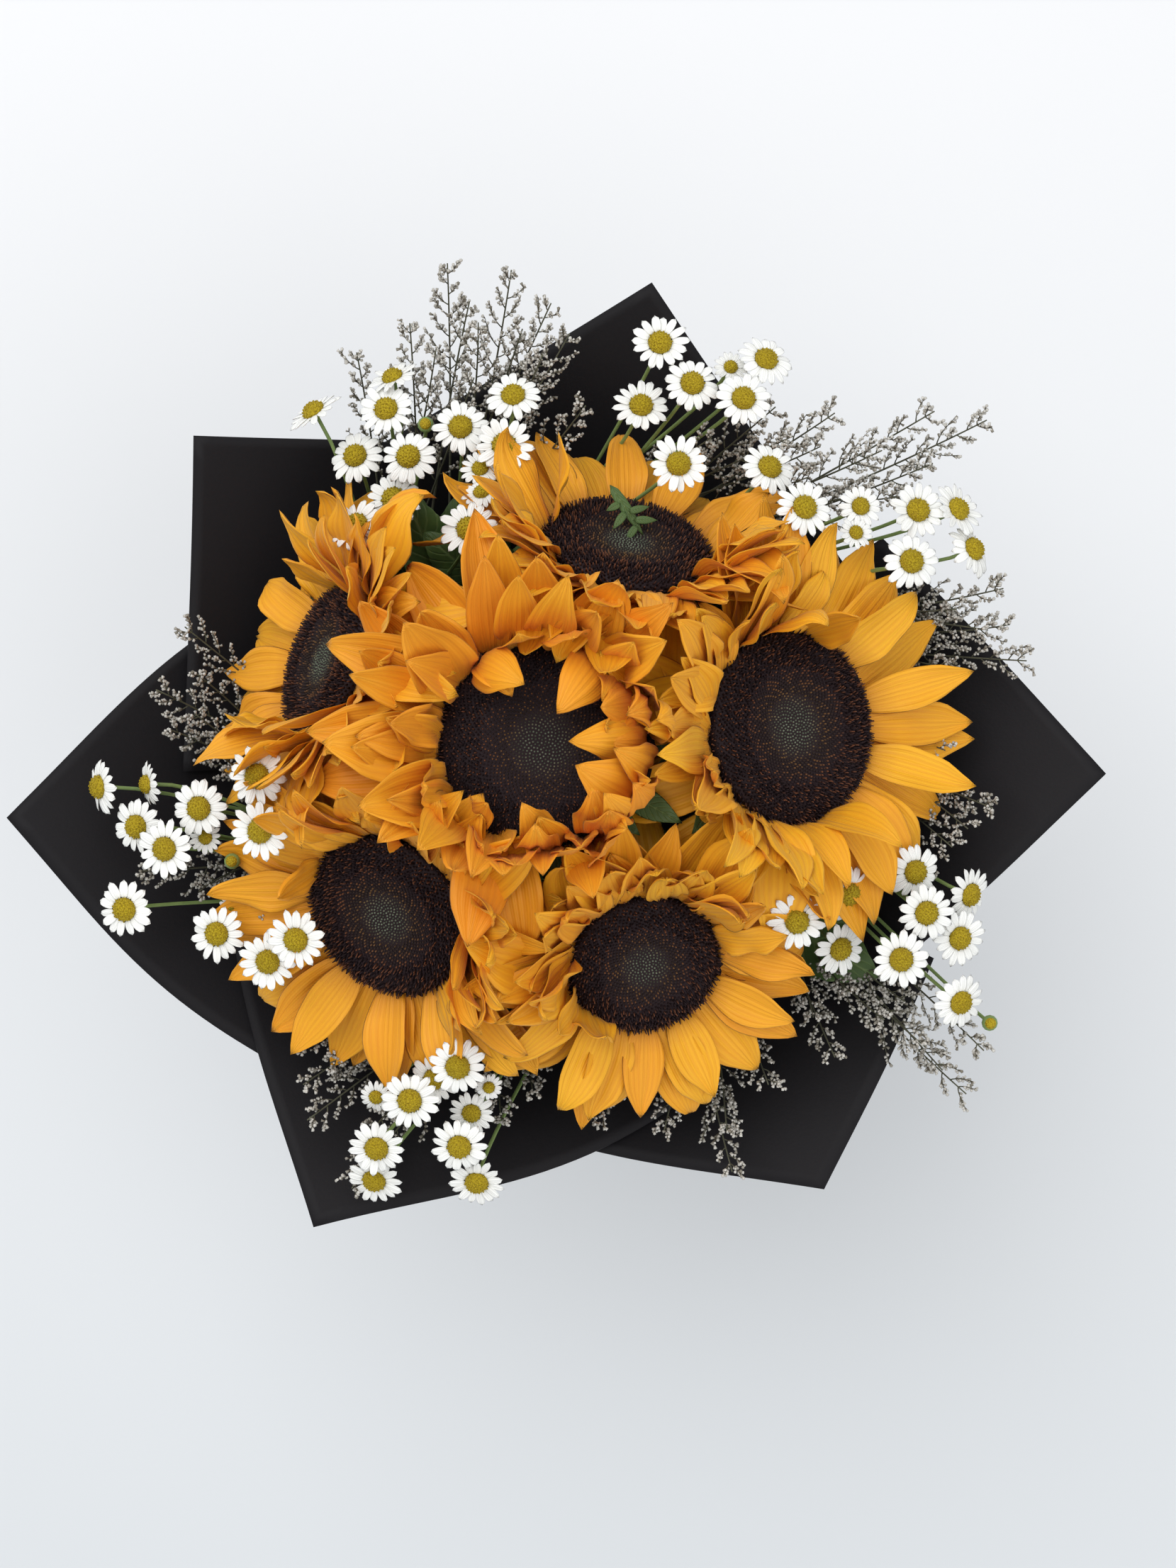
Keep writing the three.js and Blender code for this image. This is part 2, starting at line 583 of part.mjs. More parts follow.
function chamomileOnBranch(item, rise, start, shift, grow) {
  const matrix = new THREE.Matrix4().makeTranslation(0, 0, rise).multiply(flowerMatrix(item));
  const end = new THREE.Vector3().applyMatrix4(matrix);
  const arrive = new THREE.Vector3(0, 0, 1).transformDirection(matrix).multiplyScalar(ARRIVAL);
  const stalk = branch(start, end, arrive, shift, THIN_BRANCH + grow);
  return stalk.add(solid(headGeometry(item, grow).applyMatrix4(matrix)));
}

function chamomileMakers(spray) {
  return sprayMakers(spray, [...spray.flowers, ...spray.buds], chamomileOnBranch);
}

// ---------------------------------------------------------------- sea lavender

// A strand of three-sided rings along a curve, with its radius given ring by ring. Every
// second ring is turned by half a side, so the faces between them alternate.
function strandGeometry(curve, radii) {
  const steps = radii.length - 1;
  const frames = curve.computeFrenetFrames(steps);
  const points = [];
  const index = [0, 2, 1];
  radii.forEach((radius, ring) => {
    const middle = curve.getPointAt(ring / steps);
    for (let i = 0; i < 3; i++) {
      const angle = ((i + 0.5 * (ring % 2)) / 3) * TURN;
      const out = frames.normals[ring].clone().multiplyScalar(Math.cos(angle));
      out.addScaledVector(frames.binormals[ring], Math.sin(angle));
      points.push(middle.clone().addScaledVector(out, radius));
      const [a, b] = [3 * ring + i, 3 * ring + ((i + 1) % 3)];
      if (ring === steps) continue;
      if (ring % 2) index.push(a, b, b + 3, a, b + 3, a + 3);
      else index.push(a, b, a + 3, b, b + 3, a + 3);
    }
  });
  index.push(3 * steps, 3 * steps + 1, 3 * steps + 2);
  return new THREE.BufferGeometry().setFromPoints(points).setIndex(index);
}

function sprigOnBranch(item, rise, start, shift, grow) {
  const tip = new THREE.Vector3(...item.tip).setZ(item.tip[2] + rise);
  const bend = shifted(start.clone().lerp(tip, SPRIG_BEND), [shift[0] + item.sway, shift[1]]);
  bend.setZ(start.z + item.rise);
  const curve = new THREE.QuadraticBezierCurve3(start, bend, tip);
  return solid(strandGeometry(curve, SPRIG_RADII.map((radius) => radius + grow)));
}

function lavenderMakers(spray) {
  const random = seeded(spray.seed);
  const items = spray.tips.map((tip) => {
    const sway = between(random, -SPRIG_SWAY, SPRIG_SWAY);
    return { tip, sway, rise: between(random, ...SPRIG_RISE) };
  });
  return sprayMakers(spray, items, sprigOnBranch);
}

// ---------------------------------------------------------------- wrapping

function funnelHeight(radius) {
  if (radius <= FUNNEL[0][0]) return FUNNEL[0][1];
  const next = Math.max(1, FUNNEL.findIndex(([station]) => station >= radius));
  const [[r0, z0], [r1, z1]] = [FUNNEL[next - 1], FUNNEL[next]];
  return z0 + ((z1 - z0) * (radius - r0)) / (r1 - r0);
}

// Where the ray from the axis at an azimuth meets the edge line from the tip to a shoulder.
function edgeRadius(tip, shoulder, azimuth) {
  const [dx, dy] = [shoulder[0] - tip[0], shoulder[1] - tip[1]];
  return (tip[0] * dy - tip[1] * dx) / (Math.cos(azimuth) * dy - Math.sin(azimuth) * dx);
}

function sheetSolid(sheet, grow) {
  const layer = PAPER_LAYERS[sheet.layer];
  const middle = Math.atan2(sheet.tip[1], sheet.tip[0]);
  const spans = [sheet.from, sheet.to].map((end) => wrapped(Math.atan2(end[1], end[0]) - middle));
  const flare = NECK_ROWS.length;
  const outer = flare + FLARE_RADII.length;
  const rows = outer + EDGE_PARTS.length - 1;
  const radiusAt = (row, reach) => {
    const last = FLARE_RADII.at(-1);
    return row < outer ? FLARE_RADII[row - flare] : last + (reach - last) * EDGE_PARTS[row - outer];
  };
  const place = (across, along, side) => {
    const azimuth = middle + Math.abs(across) * (across < 0 ? spans[0] : spans[1]);
    const reach = edgeRadius(sheet.tip, across < 0 ? sheet.from : sheet.to, azimuth);
    const row = Math.round(along * rows);
    const half = side * (PAPER_THICKNESS / 2 + grow);
    if (row < flare) return polar(layer.neck - half, azimuth, NECK_ROWS[row]);
    const radius = radiusAt(row, reach);
    const height = funnelHeight(radius) - layer.drop - layer.sag * radius;
    return polar(radius - SHEET_NORMAL[0] * half, azimuth, height + SHEET_NORMAL[1] * half);
  };
  return solid(slab(SHEET_COLUMNS, rows, (across, along, side) => place(-across, along, side)));
}

function bandSolid(band, grow) {
  const [inner, outer] = [band.inner - grow, band.outer + grow];
  const [low, high] = [band.low - grow, band.high + grow];
  const profile = [[inner, low], [outer, low], [outer, high], [inner, high], [inner, low]];
  return solid(turned(profile, band.segments));
}

// ---------------------------------------------------------------- the bunch

const COLOURS = {
  petals: { color: 0xf0a527, roughness: 0.6 },
  disc: { color: 0x1e1214, roughness: 0.9 },
  stem: { color: 0x5a6e32, roughness: 0.65 },
  chamomile: { color: 0xf1efe8, roughness: 0.6 },
  lavender: { color: 0xb9b4a8, roughness: 0.8 },
  paper: { color: 0x1c1b1e, roughness: 0.85 },
  twine: { color: 0xa98c5c, roughness: 0.9 },
};

const bunch = new THREE.Group();
bunch.name = 'bunch_of_sunflowers';

function addPiece(name, body, look) {
  const mesh = body.getMesh();
  const geometry = new THREE.BufferGeometry();
  geometry.setAttribute('position', new THREE.BufferAttribute(mesh.vertProperties, 3));
  geometry.setIndex(new THREE.BufferAttribute(mesh.triVerts, 1));
  geometry.computeVertexNormals();
  const material = new THREE.MeshStandardMaterial({ ...COLOURS[look], metalness: 0 });
  const piece = new THREE.Mesh(geometry, material);
  piece.name = name;
  bunch.add(piece);
}

const floor = new THREE.BoxGeometry(FLOOR.width, FLOOR.width, FLOOR.depth);
const floorBlock = solid(floor.translate(0, 0, -FLOOR.depth / 2));

// Places a piece made of several shapes, cut clear of what is placed before it.
function settle(name, makers, look) {
  const [body, grown] = [0, CLEARANCE].map((grow) => fuse(makers.map((make) => make(grow))));
  const cut = clearOf(body, [floorBlock, ...taken]);
  addPiece(name, largestBody(cut.simplify(FINEST)), look);
  taken.push(grown);
}

const sprays = [...CHAMOMILE, ...LAVENDER];
for (const spray of sprays) spray.azimuth = azimuthOf(spray.flowers ?? spray.tips);
ringSlots(sprays);

for (const sheet of SHEETS) settle(sheet.name, [(grow) => sheetSolid(sheet, grow)], 'paper');
settle('twine_binding', [(grow) => bandSolid(TWINE, grow)], 'twine');
settle('ribbon_band', [(grow) => bandSolid(RIBBON, grow)], 'paper');
for (const head of HEADS) {
  const disc = (grow) => solid(discGeometry(head, grow).applyMatrix4(headMatrix(head)));
  settle(`sunflower_${head.name}_disc`, [disc], 'disc');
}
for (const head of HEADS) settle(`sunflower_${head.name}_stem`, stemMakers(head), 'stem');
for (const spray of CHAMOMILE) settle(spray.name, chamomileMakers(spray), 'chamomile');
for (const head of HEADS) settle(`sunflower_${head.name}_petals`, petalMakers(head), 'petals');
for (const spray of LAVENDER) settle(spray.name, lavenderMakers(spray), 'lavender');

export default bunch;
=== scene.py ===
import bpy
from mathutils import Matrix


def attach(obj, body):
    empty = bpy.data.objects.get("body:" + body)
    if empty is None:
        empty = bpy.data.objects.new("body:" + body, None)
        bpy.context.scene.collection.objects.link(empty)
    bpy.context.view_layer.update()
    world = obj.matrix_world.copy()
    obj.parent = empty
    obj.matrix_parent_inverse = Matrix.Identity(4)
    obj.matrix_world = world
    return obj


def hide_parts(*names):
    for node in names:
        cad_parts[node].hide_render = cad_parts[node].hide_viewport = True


bl_info = {
    "name": "Sunflower bunch",
    "version": (1, 0, 0),
    "blender": (4, 5, 0),
    "location": "3D View > Sidebar > Bunch",
    "description": "Models a hand-tied bunch of sunflowers in black paper around its plain solids",
    "category": "Add Mesh",
}

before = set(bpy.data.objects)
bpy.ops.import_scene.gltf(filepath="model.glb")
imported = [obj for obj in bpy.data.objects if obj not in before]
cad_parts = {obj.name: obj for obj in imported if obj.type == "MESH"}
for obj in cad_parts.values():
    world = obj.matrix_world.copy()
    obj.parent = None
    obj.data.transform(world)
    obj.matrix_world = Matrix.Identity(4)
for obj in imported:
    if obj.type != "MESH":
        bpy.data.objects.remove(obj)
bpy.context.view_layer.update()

import functools
import math

import bmesh
import bpy
import numpy as np
from bpy.props import FloatProperty, FloatVectorProperty, IntProperty, PointerProperty
from mathutils import Matrix, Vector

# Everything is modelled in millimetres, in the frame of the solids, and scaled at the end.
MM = 0.001
JOINED = 1e-3  # points nearer than this are one point
BLADE_STEPS = 60
TIP_PART = 0.6  # a petal's tip bends from this part of its length
TURN = 2 * math.pi
GOLDEN = math.radians(137.508)

# What is added to a piece's own seed for its further runs of draws, and the seeds of the
# petals over the middle disc, the first chamomile and the first sea lavender.
SEEDS = dict(looks=7000, more=500, loose=900, broad=1300, florets=90, bracts=40, sprigs=300)
OVER_DISC_SEED = 77
CHAMOMILE_SEED = 600
LAVENDER_SEED = 201

# ---------------------------------------------------------------- places

# The stems cross in a spiral at the waist, where they are tied, and end on a level cut.
FOOT_HEIGHT = 0
LOWER_STEM = 60  # a height between the foot and the waist
WAIST_HEIGHT = 135
INNER_RING = 10.5  # the five outer sunflower stems, round the middle one
OUTER_RING = 17.2  # the thin stems round them
OUTER_SLOPE = 0.55  # sideways run of a thin stem for each millimetre of rise
INNER_TOP = 200  # the thick and the thin stems are straight up to these heights
OUTER_TOP = 205
STEM_RADIUS = 4.5
STEM_TAPER = (0.97, 0.93, 1, 1.05)  # from the foot to the calyx
THIN_STEM = 1.35
THIN_BRANCH = 0.75
BRANCH_START = 0.82  # branches leave a thin stem from this part of its length up to its fork
ARRIVAL = 26  # a branch heads straight for its flower from this far

# Sunflowers: the middle of the disc's underside, the way the head faces and its tilt, the
# disc's radius, the seed of its petals' draws, the warmth of its colour, and the degrees by
# which single petals are raised over the petals beside them.
HEADS = [
    dict(name="centre", at=(-3, 1, 362), faces=0, tilt=3, disc=37, seed=31, warmth=0.75,
         raised={9: 12, 13: 12}),
    dict(name="right", at=(87, 8, 333), faces=5, tilt=31, disc=36, seed=12, warmth=0.2,
         raised={2: -6, 6: 12, 7: 6, 11: -6, 14: 46}),
    dict(name="top", at=(27.5, 74, 330), faces=78, tilt=54, disc=31, seed=23, warmth=0.3,
         raised={4: 36, 5: 6, 7: 46, 9: 36, 11: 26, 13: 18}),
    dict(name="lower_left", at=(-60, -61, 333), faces=225, tilt=33, disc=32, seed=44, warmth=0.35,
         raised={4: 18, 7: -6, 10: -18, 12: 26, 14: 36}),
    dict(name="bottom", at=(33.5, -79, 331), faces=-67, tilt=27, disc=28, seed=55, warmth=0.3,
         raised={2: 36, 4: 6, 6: -6, 11: -12}),
    dict(name="left", at=(-83, 32, 326), faces=162, tilt=60, disc=30, seed=66, warmth=0.3, lean=22,
         raised={2: 26, 4: 36, 6: 46, 9: -12, 10: 36, 13: 46, 14: 26}),
]
MIDDLE = HEADS[0]
DISC_RINGS = ([0, 0.27, 0.46, 0.64, 0.82, 0.95, 1], [3.9, 3.8, 4.5, 5.2, 4.9, 3.4, 1.3])
# The plate under a disc, to whose edge the petals run: its faces, and its rim outside the
# disc's edge.
PLATE_UNDERSIDE, PLATE_TOP, PLATE_RIM = -2.8, -0.6, 3
TYPICAL_DISC = 34  # petals are longer, and florets more, on a larger disc than this
# The parts of a disc's radius where closed florets end and open ones start, and where the
# fringe starts, and the floret in each: radii at its base and tip, height, lean, sides.
CLOSED_PART, OPEN_PART, FRINGE_PART = 0.34, 0.6, 0.94
CLOSED_FLORET = (0.5, 0.3, 0.9, 0.05, 5)
MIDDLE_FLORET = (0.52, 0.26, 1.4, 0.12, 5)
OPEN_FLORET = (0.54, 0.15, (1.8, 3.3), (0.0, 0.5), 4)
FRINGE_LEAN = 0.5
FLORET_SUNK = 0.5

PETAL_ROOT = -0.7  # outside the disc's edge
PETAL_THICKNESS = 0.6
PETAL_WIDTH = (19, 23)
# What a petal's looks are drawn from: turns in radians but for the tip's, which is in
# degrees, and the rest in millimetres or parts of the width.
PETAL_LOOKS = dict(
    twist=(-0.25, 0.25), cup=(0.1, 0.28), tip=(-80, 60), rib=(0.25, 0.6), ribs=(2.2, 3.6),
    fold=(-0.1, 0.3), wave=(0.6, 2.6), waves=(6, 13), phase=(0, TURN), tint=(-0.3, 0.3),
)
# Petal layers: how many, where the first lies, length, lift, height of the root, and what
# its width is multiplied by. The first two layers are those of the solids.
PETAL_LAYERS = [
    dict(count=8, phase=0, length=44, lift=20, root=-1.3, width=0.9),
    dict(count=8, phase=0.5, length=48, lift=2, root=-2, width=0.9),
]
MORE_LAYERS = [
    dict(count=11, phase=0.27, length=42, lift=32, root=-0.6, width=0.8),
    dict(count=11, phase=0.7, length=47, lift=12, root=-1.7, width=0.85),
]
RAISED_PART = 0.3  # thin soft petals need less room than the solids
PETAL_YAW = 10  # degrees, to either side
CENTRE_YAW = 28
CROWDED_LIFT = 76  # how steeply petals stand where heads crowd each other
CROWDED_TURNS = (-0.05, 0.45)  # cosines over which that starts, away from the lean
# The middle head: which way its crumpled side lies, and what its petals add to the lift
# and curl of their layer on that side (curled) and on the other (open).
CRUMPLED_AZIMUTH = -35
CRUMPLED_FROM = 0.2  # cosine of the angle from the crumpled side
CURLED = dict(lift=60, curl=45, length=0.86)
OPEN = dict(lift=48, turned_lift=12, curl=0.6, length=0.94)
# Loose petals where heads crowd each other: how many, how far round from the side that
# faces away from the lean, the ranges of lift, curl, length, turn to the side and width,
# and the height of the root. The crumpled ones are the middle head's, and the broad ones
# lie lower down in every head.
LOOSE = dict(count=17, spread=110, lift=(30, 84), curl=(-20, 60), length=(28, 44), yaw=(-35, 35),
             width=(13, 18), root=0.2)
CRUMPLED = dict(LOOSE, count=13, spread=180, lift=(48, 96), curl=(-75, 45), length=(30, 44))
BROAD = dict(LOOSE, count=10, spread=80, lift=(4, 50), curl=(5, 70), length=(42, 55), width=(19, 25),
             root=-0.8)
LOOSE_CUP = (-0.1, 0.5)
LOOSE_TWIST = (-0.7, 0.7)
# Petals of the middle head that lie over its disc: azimuth of the root and heading of the
# petal, lift, curl, length and width.
OVER_DISC = [
    (4, 4, 82, -98, 50, 17), (-30, -26, 80, -92, 46, 22), (57, 52, 84, -96, 44, 19),
    (76, 110, 70, -40, 38, 19), (24, 10, 88, -50, 40, 16), (-52, -80, 70, -60, 36, 18),
    (226, 226, 86, -44, 26, 13), (240, 300, 62, -35, 34, 16), (-66, -120, 74, -20, 34, 15),
    (-84, -60, 80, -70, 32, 15), (128, 150, 78, -80, 40, 18), (146, 132, 62, 10, 50, 24),
    (184, 176, 50, 30, 50, 26), (206, 190, 58, 20, 48, 24),
]
HALF_COVERED = ("centre", "left")  # heads whose discs have petals over them
CLEAR_TRIES = 6  # how often a petal is raised to clear a neighbour's disc
CLEAR_STEP = 0.2
DISC_MARGIN = 2
DISC_SLAB = (-7, 10)
DISC_FACE = 3  # the height over which a petal counts as hanging over a disc

CALYX_DEPTH = 23  # below the disc's underside
# From the stem outwards: part of the rim's radius, height.
CALYX_PROFILE = [(0.3, -19), (0.55, -15), (0.85, -9.5), (1, -6.2), (1, -3.2), (0, -3.2)]
# Rings of bracts: how many, height, size, and the part of the rim's radius at their roots.
BRACT_RINGS = [(13, -6.4, 1.0, 1), (13, -9.5, 0.85, 0.84), (9, -13, 0.7, 0.62)]
BRACT = dict(length=24, width=10.5)
BRACT_SUNK = 4
NECK_BELOW = 2  # the calyx
STEM_INSIDE = 6  # the calyx
NECK_RISE = 40  # the height over which a stem bends into its head's tilt
NECK_LEAN = 0.385  # the part of the head's slope that the bend covers
LEAF_HEIGHT = 232
LEAF_TURN = 34  # degrees from straight outwards
LEAF = dict(length=72, width=46, lift=math.radians(52), curl=math.radians(30))

# Leaves that the heads leave uncovered: root, azimuth and lift in degrees, length, width.
GAP_LEAVES = [
    ((-20, 45, 262), 118, 58, 62, 44),
    ((-30, 60, 270), 100, 40, 46, 34),
    ((62, 55, 272), 40, 45, 52, 34),
    ((60, -45, 268), -38, 48, 56, 34),
    ((-8, -60, 270), -98, 50, 46, 30),
    ((80, -62, 262), -30, 42, 60, 30),
    ((-75, -10, 270), 188, 50, 50, 30),
    ((-42, 62, 286), 112, 60, 48, 24),
    ((-56, 64, 282), 80, 70, 44, 20),
    ((-30, 66, 290), 140, 74, 36, 18),
]

# Their stalks start at this part of the radius, lower down, and bend at a height between.
GAP_STALK = dict(part=0.55, drop=45, bend=20, radii=(1.4, 1.2))

# The lobes of the small leaf that lies on the top head's disc: from, to and width.
LOBES = [
    ((21, 98, 331), (34, 79, 327), 4.5), ((25, 91, 331), (19.5, 88, 332), 3),
    ((27, 88, 331), (22, 81, 332), 3.2), ((28, 88, 331), (36, 90, 330), 3),
    ((30, 85, 330), (39, 85, 329), 3.2), ((31, 83, 330), (27, 77, 330), 3),
]

# Chamomile: places (x, y, z, outward tilt), further flowers with their size, and buds.
CHAMOMILE = [
    dict(name="chamomile_upper_left",
         flowers=[(-90, 127, 318, 60), (-75, 111, 314, 20), (-63, 128, 318, 20),
                  (-54, 109, 326, 10), (-60, 94, 320, 15), (-72, 82, 338, 30)],
         buds=[(-48, 122, 320)], more=[(-61, 141, 312, 55, 0.9)]),
    dict(name="chamomile_top_left",
         flowers=[(-34.5, 120, 326, 12), (-15, 132, 324, 30), (-18, 112, 334, 10),
                  (-30, 79, 352, 10)],
         more=[(-27, 104, 330, 25, 0.7), (-26, 94, 338, 40, 0.7)]),
    dict(name="chamomile_top",
         flowers=[(40, 153, 318, 12), (52, 137, 322, 12), (33, 130, 314, 20),
                  (46, 104, 342, 5), (80, 147, 316, 30), (71, 131, 324, 15)],
         more=[(67, 145, 312, 20, 0.6)]),
    dict(name="chamomile_right_top",
         flowers=[(80, 104, 332, 30), (92, 88, 342, 20), (137, 90, 318, 15),
                  (132, 69, 336, 10), (153, 91, 312, 40), (159, 76, 311, 45)],
         more=[(114, 90, 330, 10, 0.75), (112, 80, 332, 20, 0.6)]),
    dict(name="chamomile_right_low",
         flowers=[(110, -54, 326, 40), (136, -46, 318, 20), (139, -61, 326, 12),
                  (158, -55, 309, 45), (153, -71, 316, 25)]),
    dict(name="chamomile_lower_right",
         flowers=[(89, -63, 344, 12), (108, -75, 316, 30), (129, -78, 330, 8),
                  (153, -95, 318, 30)],
         buds=[(166, -104, 308)]),
    dict(name="chamomile_bottom",
         flowers=[(-35, -117, 336, 8), (-53, -130, 332, 8), (-66, -149, 324, 15),
                  (-68, -163, 312, 30), (-35, -148, 326, 15), (-29, -163, 316, 30)],
         more=[(-45, -124, 318, 10, 0.9), (-31, -137, 316, 15, 0.8),
               (-67, -131, 316, 20, 0.6), (-24, -126, 326, 10, 0.5)]),
    dict(name="chamomile_left",
         flowers=[(-107, -10, 348, 5), (-106, -30, 348, 5), (-132, -22, 326, 8),
                  (-144, -37, 330, 12), (-157, -29, 317, 25)],
         buds=[(-121, -42, 318)], more=[(-154, -13, 312, 60, 0.8), (-131, -33, 318, 10, 0.6)]),
    dict(name="chamomile_lower_left",
         flowers=[(-172, -14, 312, 55), (-161, -60, 320, 12), (-126, -69, 322, 12),
                  (-106, -79, 328, 10), (-94, -70, 340, 10)],
         more=[(-122, -59, 314, 20, 0.45)]),
]
CHAMOMILE_FORK = (88, 252)  # radius and height where the topmost branch leaves
CUP_SIZE = (4.3, 4.3, 1.6)
BUD_SIZE, BUD_TOP_SIZE = (3.1, 3.1, 2.7), (2.3, 2.3, 1.9)
RAYS = 15
RAY = dict(length=7.5, width=3.9, thickness=0.34)
DOME_RADIUS = 4.5
DOME_RINGS = ([0, 0.55, 0.86, 1], [3.8, 3.4, 2.2, 0.9])
DOME_FLORET = (0.42, 0.24, 0.65)  # radii at its base and tip, and height
DOME_PROFILE = ((0, -0.8), (4.14, -0.6), (4.5, 0.6), (3.87, 2.2), (2.475, 3.4), (0, 3.8))
DOME_FLORETS = 46
# Fronds: how many, where the first leaves the stem and how far on the next, and length.
FRONDS = dict(count=5, first=0.72, step=0.055, length=(20, 30))

# Sea lavender: the twigs on each sprig, the places for calyces on a twig, the length of
# sprig that is set with twigs, and the tips of the sprigs, those of the solids first.
TWIGS = 13
CALYX_STEPS = 8
CALYX = (0.2, 0.6, 1.9)  # radii at its root and mouth, and height
TWIGGED = 50
SPRIG_RADII = (0.7, 0.28)
TWIG_RADII = (0.3, 0.16)
TWIG_LENGTH = (7, 18)
LAVENDER_FORK = (95, 243)
LAVENDER = [
    dict(name="lavender_top_left",
         tips=[(-40, 183, 318), (-16, 181, 316), (-28, 159, 326), (-4, 147, 326)],
         more=[(-1, 168, 318), (-32, 170, 312), (-12, 160, 310)]),
    dict(name="lavender_upper_left",
         tips=[(-54, 160, 320), (-75, 151, 310), (6, 157, 316)],
         more=[(-44, 150, 322), (-60, 146, 306), (12, 128, 326), (-30, 140, 318)]),
    dict(name="lavender_top_right",
         tips=[(84, 130, 312), (106, 127, 316), (60, 119, 308)],
         more=[(101, 115, 312), (90, 118, 318), (96, 103, 314)]),
    dict(name="lavender_right_top",
         tips=[(143, 127, 320), (163, 124, 318), (143, 108, 316), (123, 112, 322)],
         more=[(131, 96, 312), (120, 98, 308)]),
    dict(name="lavender_right",
         tips=[(170, 61, 314), (180, 34, 308), (154, 54, 304)],
         more=[(174, 48, 306), (150, 32, 300), (166, 46, 304)]),
    dict(name="lavender_right_low",
         tips=[(166, -22, 314), (150, 0, 302), (152, -37, 306)],
         more=[(143, -50, 304), (158, -30, 306)]),
    dict(name="lavender_lower_right",
         tips=[(157, -131, 308), (163, -114, 312), (140, -112, 318), (107, -117, 308)],
         more=[(99, -102, 306), (125, -102, 314), (112, -92, 310), (86, -86, 300),
               (148, -122, 308), (134, -96, 306)]),
    dict(name="lavender_bottom",
         tips=[(68, -161, 306), (82, -128, 304), (42, -146, 304)],
         more=[(66, -146, 306), (14, -142, 302), (58, -132, 302)]),
    dict(name="lavender_lower_left",
         tips=[(-98, -114, 306), (-94, -141, 308), (-77, -167, 308)],
         more=[(-96, -128, 304), (-70, -146, 304), (-20, -142, 304), (-86, -120, 302),
               (-8, -132, 302)]),
    dict(name="lavender_left",
         tips=[(-141, 47, 306), (-152, 23, 306), (-157, -46, 310)],
         more=[(-138, 30, 304), (-138, 14, 302), (-148, 8, 302), (-128, -2, 304),
               (-136, -54, 304), (-112, -60, 310)]),
]

# Paper: six sheets with their layer, their corner, the ends of the two edges that run from
# it, and how far each edge bows outwards.
SHEETS = [
    dict(name="right", layer=0, tip=(212, -9), ends=[(122, -95), (130, 85)], bows=(3, 2)),
    dict(name="upper_left", layer=0, tip=(-141, 123), ends=[(-28, 122), (-149, -8)], bows=(2.4, 0.6)),
    dict(name="lower_left", layer=0, tip=(-93, -184), ends=[(-131, -60), (60, -134)], bows=(5, 11)),
    dict(name="top", layer=1, tip=(38, 184), ends=[(121, 70), (-78, 120)], bows=(0.5, 0.5)),
    dict(name="left", layer=1, tip=(-212, -26), ends=[(-120, 62), (-108, -126)], bows=(7, 9)),
    dict(name="lower_right", layer=1, tip=(105, -171), ends=[(-20, -150), (150, -82)], bows=(4, 1.5)),
]
# Each layer's neck radius, and how far it lies under the funnel's profile at the neck and
# for each millimetre of radius.
PAPER_LAYERS = [dict(neck=22, drop=0, sag=0), dict(neck=23.2, drop=2.4, sag=0.018)]
FUNNEL = ([22, 36, 70, 110, 150, 185, 215], [146, 172, 208, 240, 268, 288, 302])
NECK_HEIGHTS = (112, 146)
NECK_PART = 0.16  # of a sheet's length
OPENING = 1.25  # the power with which a sheet's radius grows along it
# Pleats round the neck: how many, how deep, and the radius round which they lie and how
# widely. The sway of a sheet: how many waves, and how high.
PLEATS = dict(count=19, depth=0.5, radius=30, spread=26)
SWAY = dict(count=5, height=1.0)

TWINE = dict(radius=20.25, thickness=0.62, turns=6, low=131.8, rise=6.4)
RIBBON_PROFILE = ((24.7, 126), (25.5, 126.3), (25.8, 130), (25.6, 134.5), (25.85, 139),
                  (25.5, 142.7), (24.7, 143), (24.9, 134.5), (24.7, 126))

CAMERA_PLACE = (12.95, -12.95, 1140)
CAMERA_LENS = 50.13
SENSOR = 36  # on the long side of the picture
KEY_PLACE, FILL_PLACE = (-0.7, 0.9, 2.1), (0.9, -0.7, 1.6)  # metres
LAMP_SIZE = 2.0
LIT_POINT = (0, 0, 0.3)
FLOOR_REACH = 9
# The floor's painted shade, standing in for the light falling off towards the bottom of the
# picture, starts up the picture from the bunch and is full below it: what it adds for each
# metre of +Y, and what it is at the middle.
FLOOR_PAINTED_SHADE = (-1.25, 0.47)

# ---------------------------------------------------------------- draws and curves


def seeded(seed):
    """Even draws between 0 and 1 that are the same on every run."""
    mask = 0xFFFFFFFF
    state = seed & mask

    def draw():
        nonlocal state
        state = (state + 0x6D2B79F5) & mask
        value = ((state ^ (state >> 15)) * (state | 1)) & mask
        value ^= (value + (((value ^ (value >> 7)) * (value | 61)) & mask)) & mask
        return ((value ^ (value >> 14)) & mask) / 4294967296

    return draw


def between(draw, low, high):
    return low + (high - low) * draw()


def polar(radius, azimuth, height=0.0):
    return Vector((radius * math.cos(azimuth), radius * math.sin(azimuth), height))


def wrapped(angle):
    """The same angle, at most half a turn either way."""
    return angle - TURN * round(angle / TURN)


def spun(angle):
    return Matrix.Rotation(angle, 4, "Z")


def leant(angle):
    return Matrix.Rotation(angle, 4, "Y")


def moved(x, y, z):
    return Matrix.Translation((x, y, z))


def smoothstep(value, low, high):
    """0 up to low, 1 from high, and smooth between them."""
    part = min(1.0, max(0.0, (value - low) / (high - low)))
    return part * part * (3 - 2 * part)


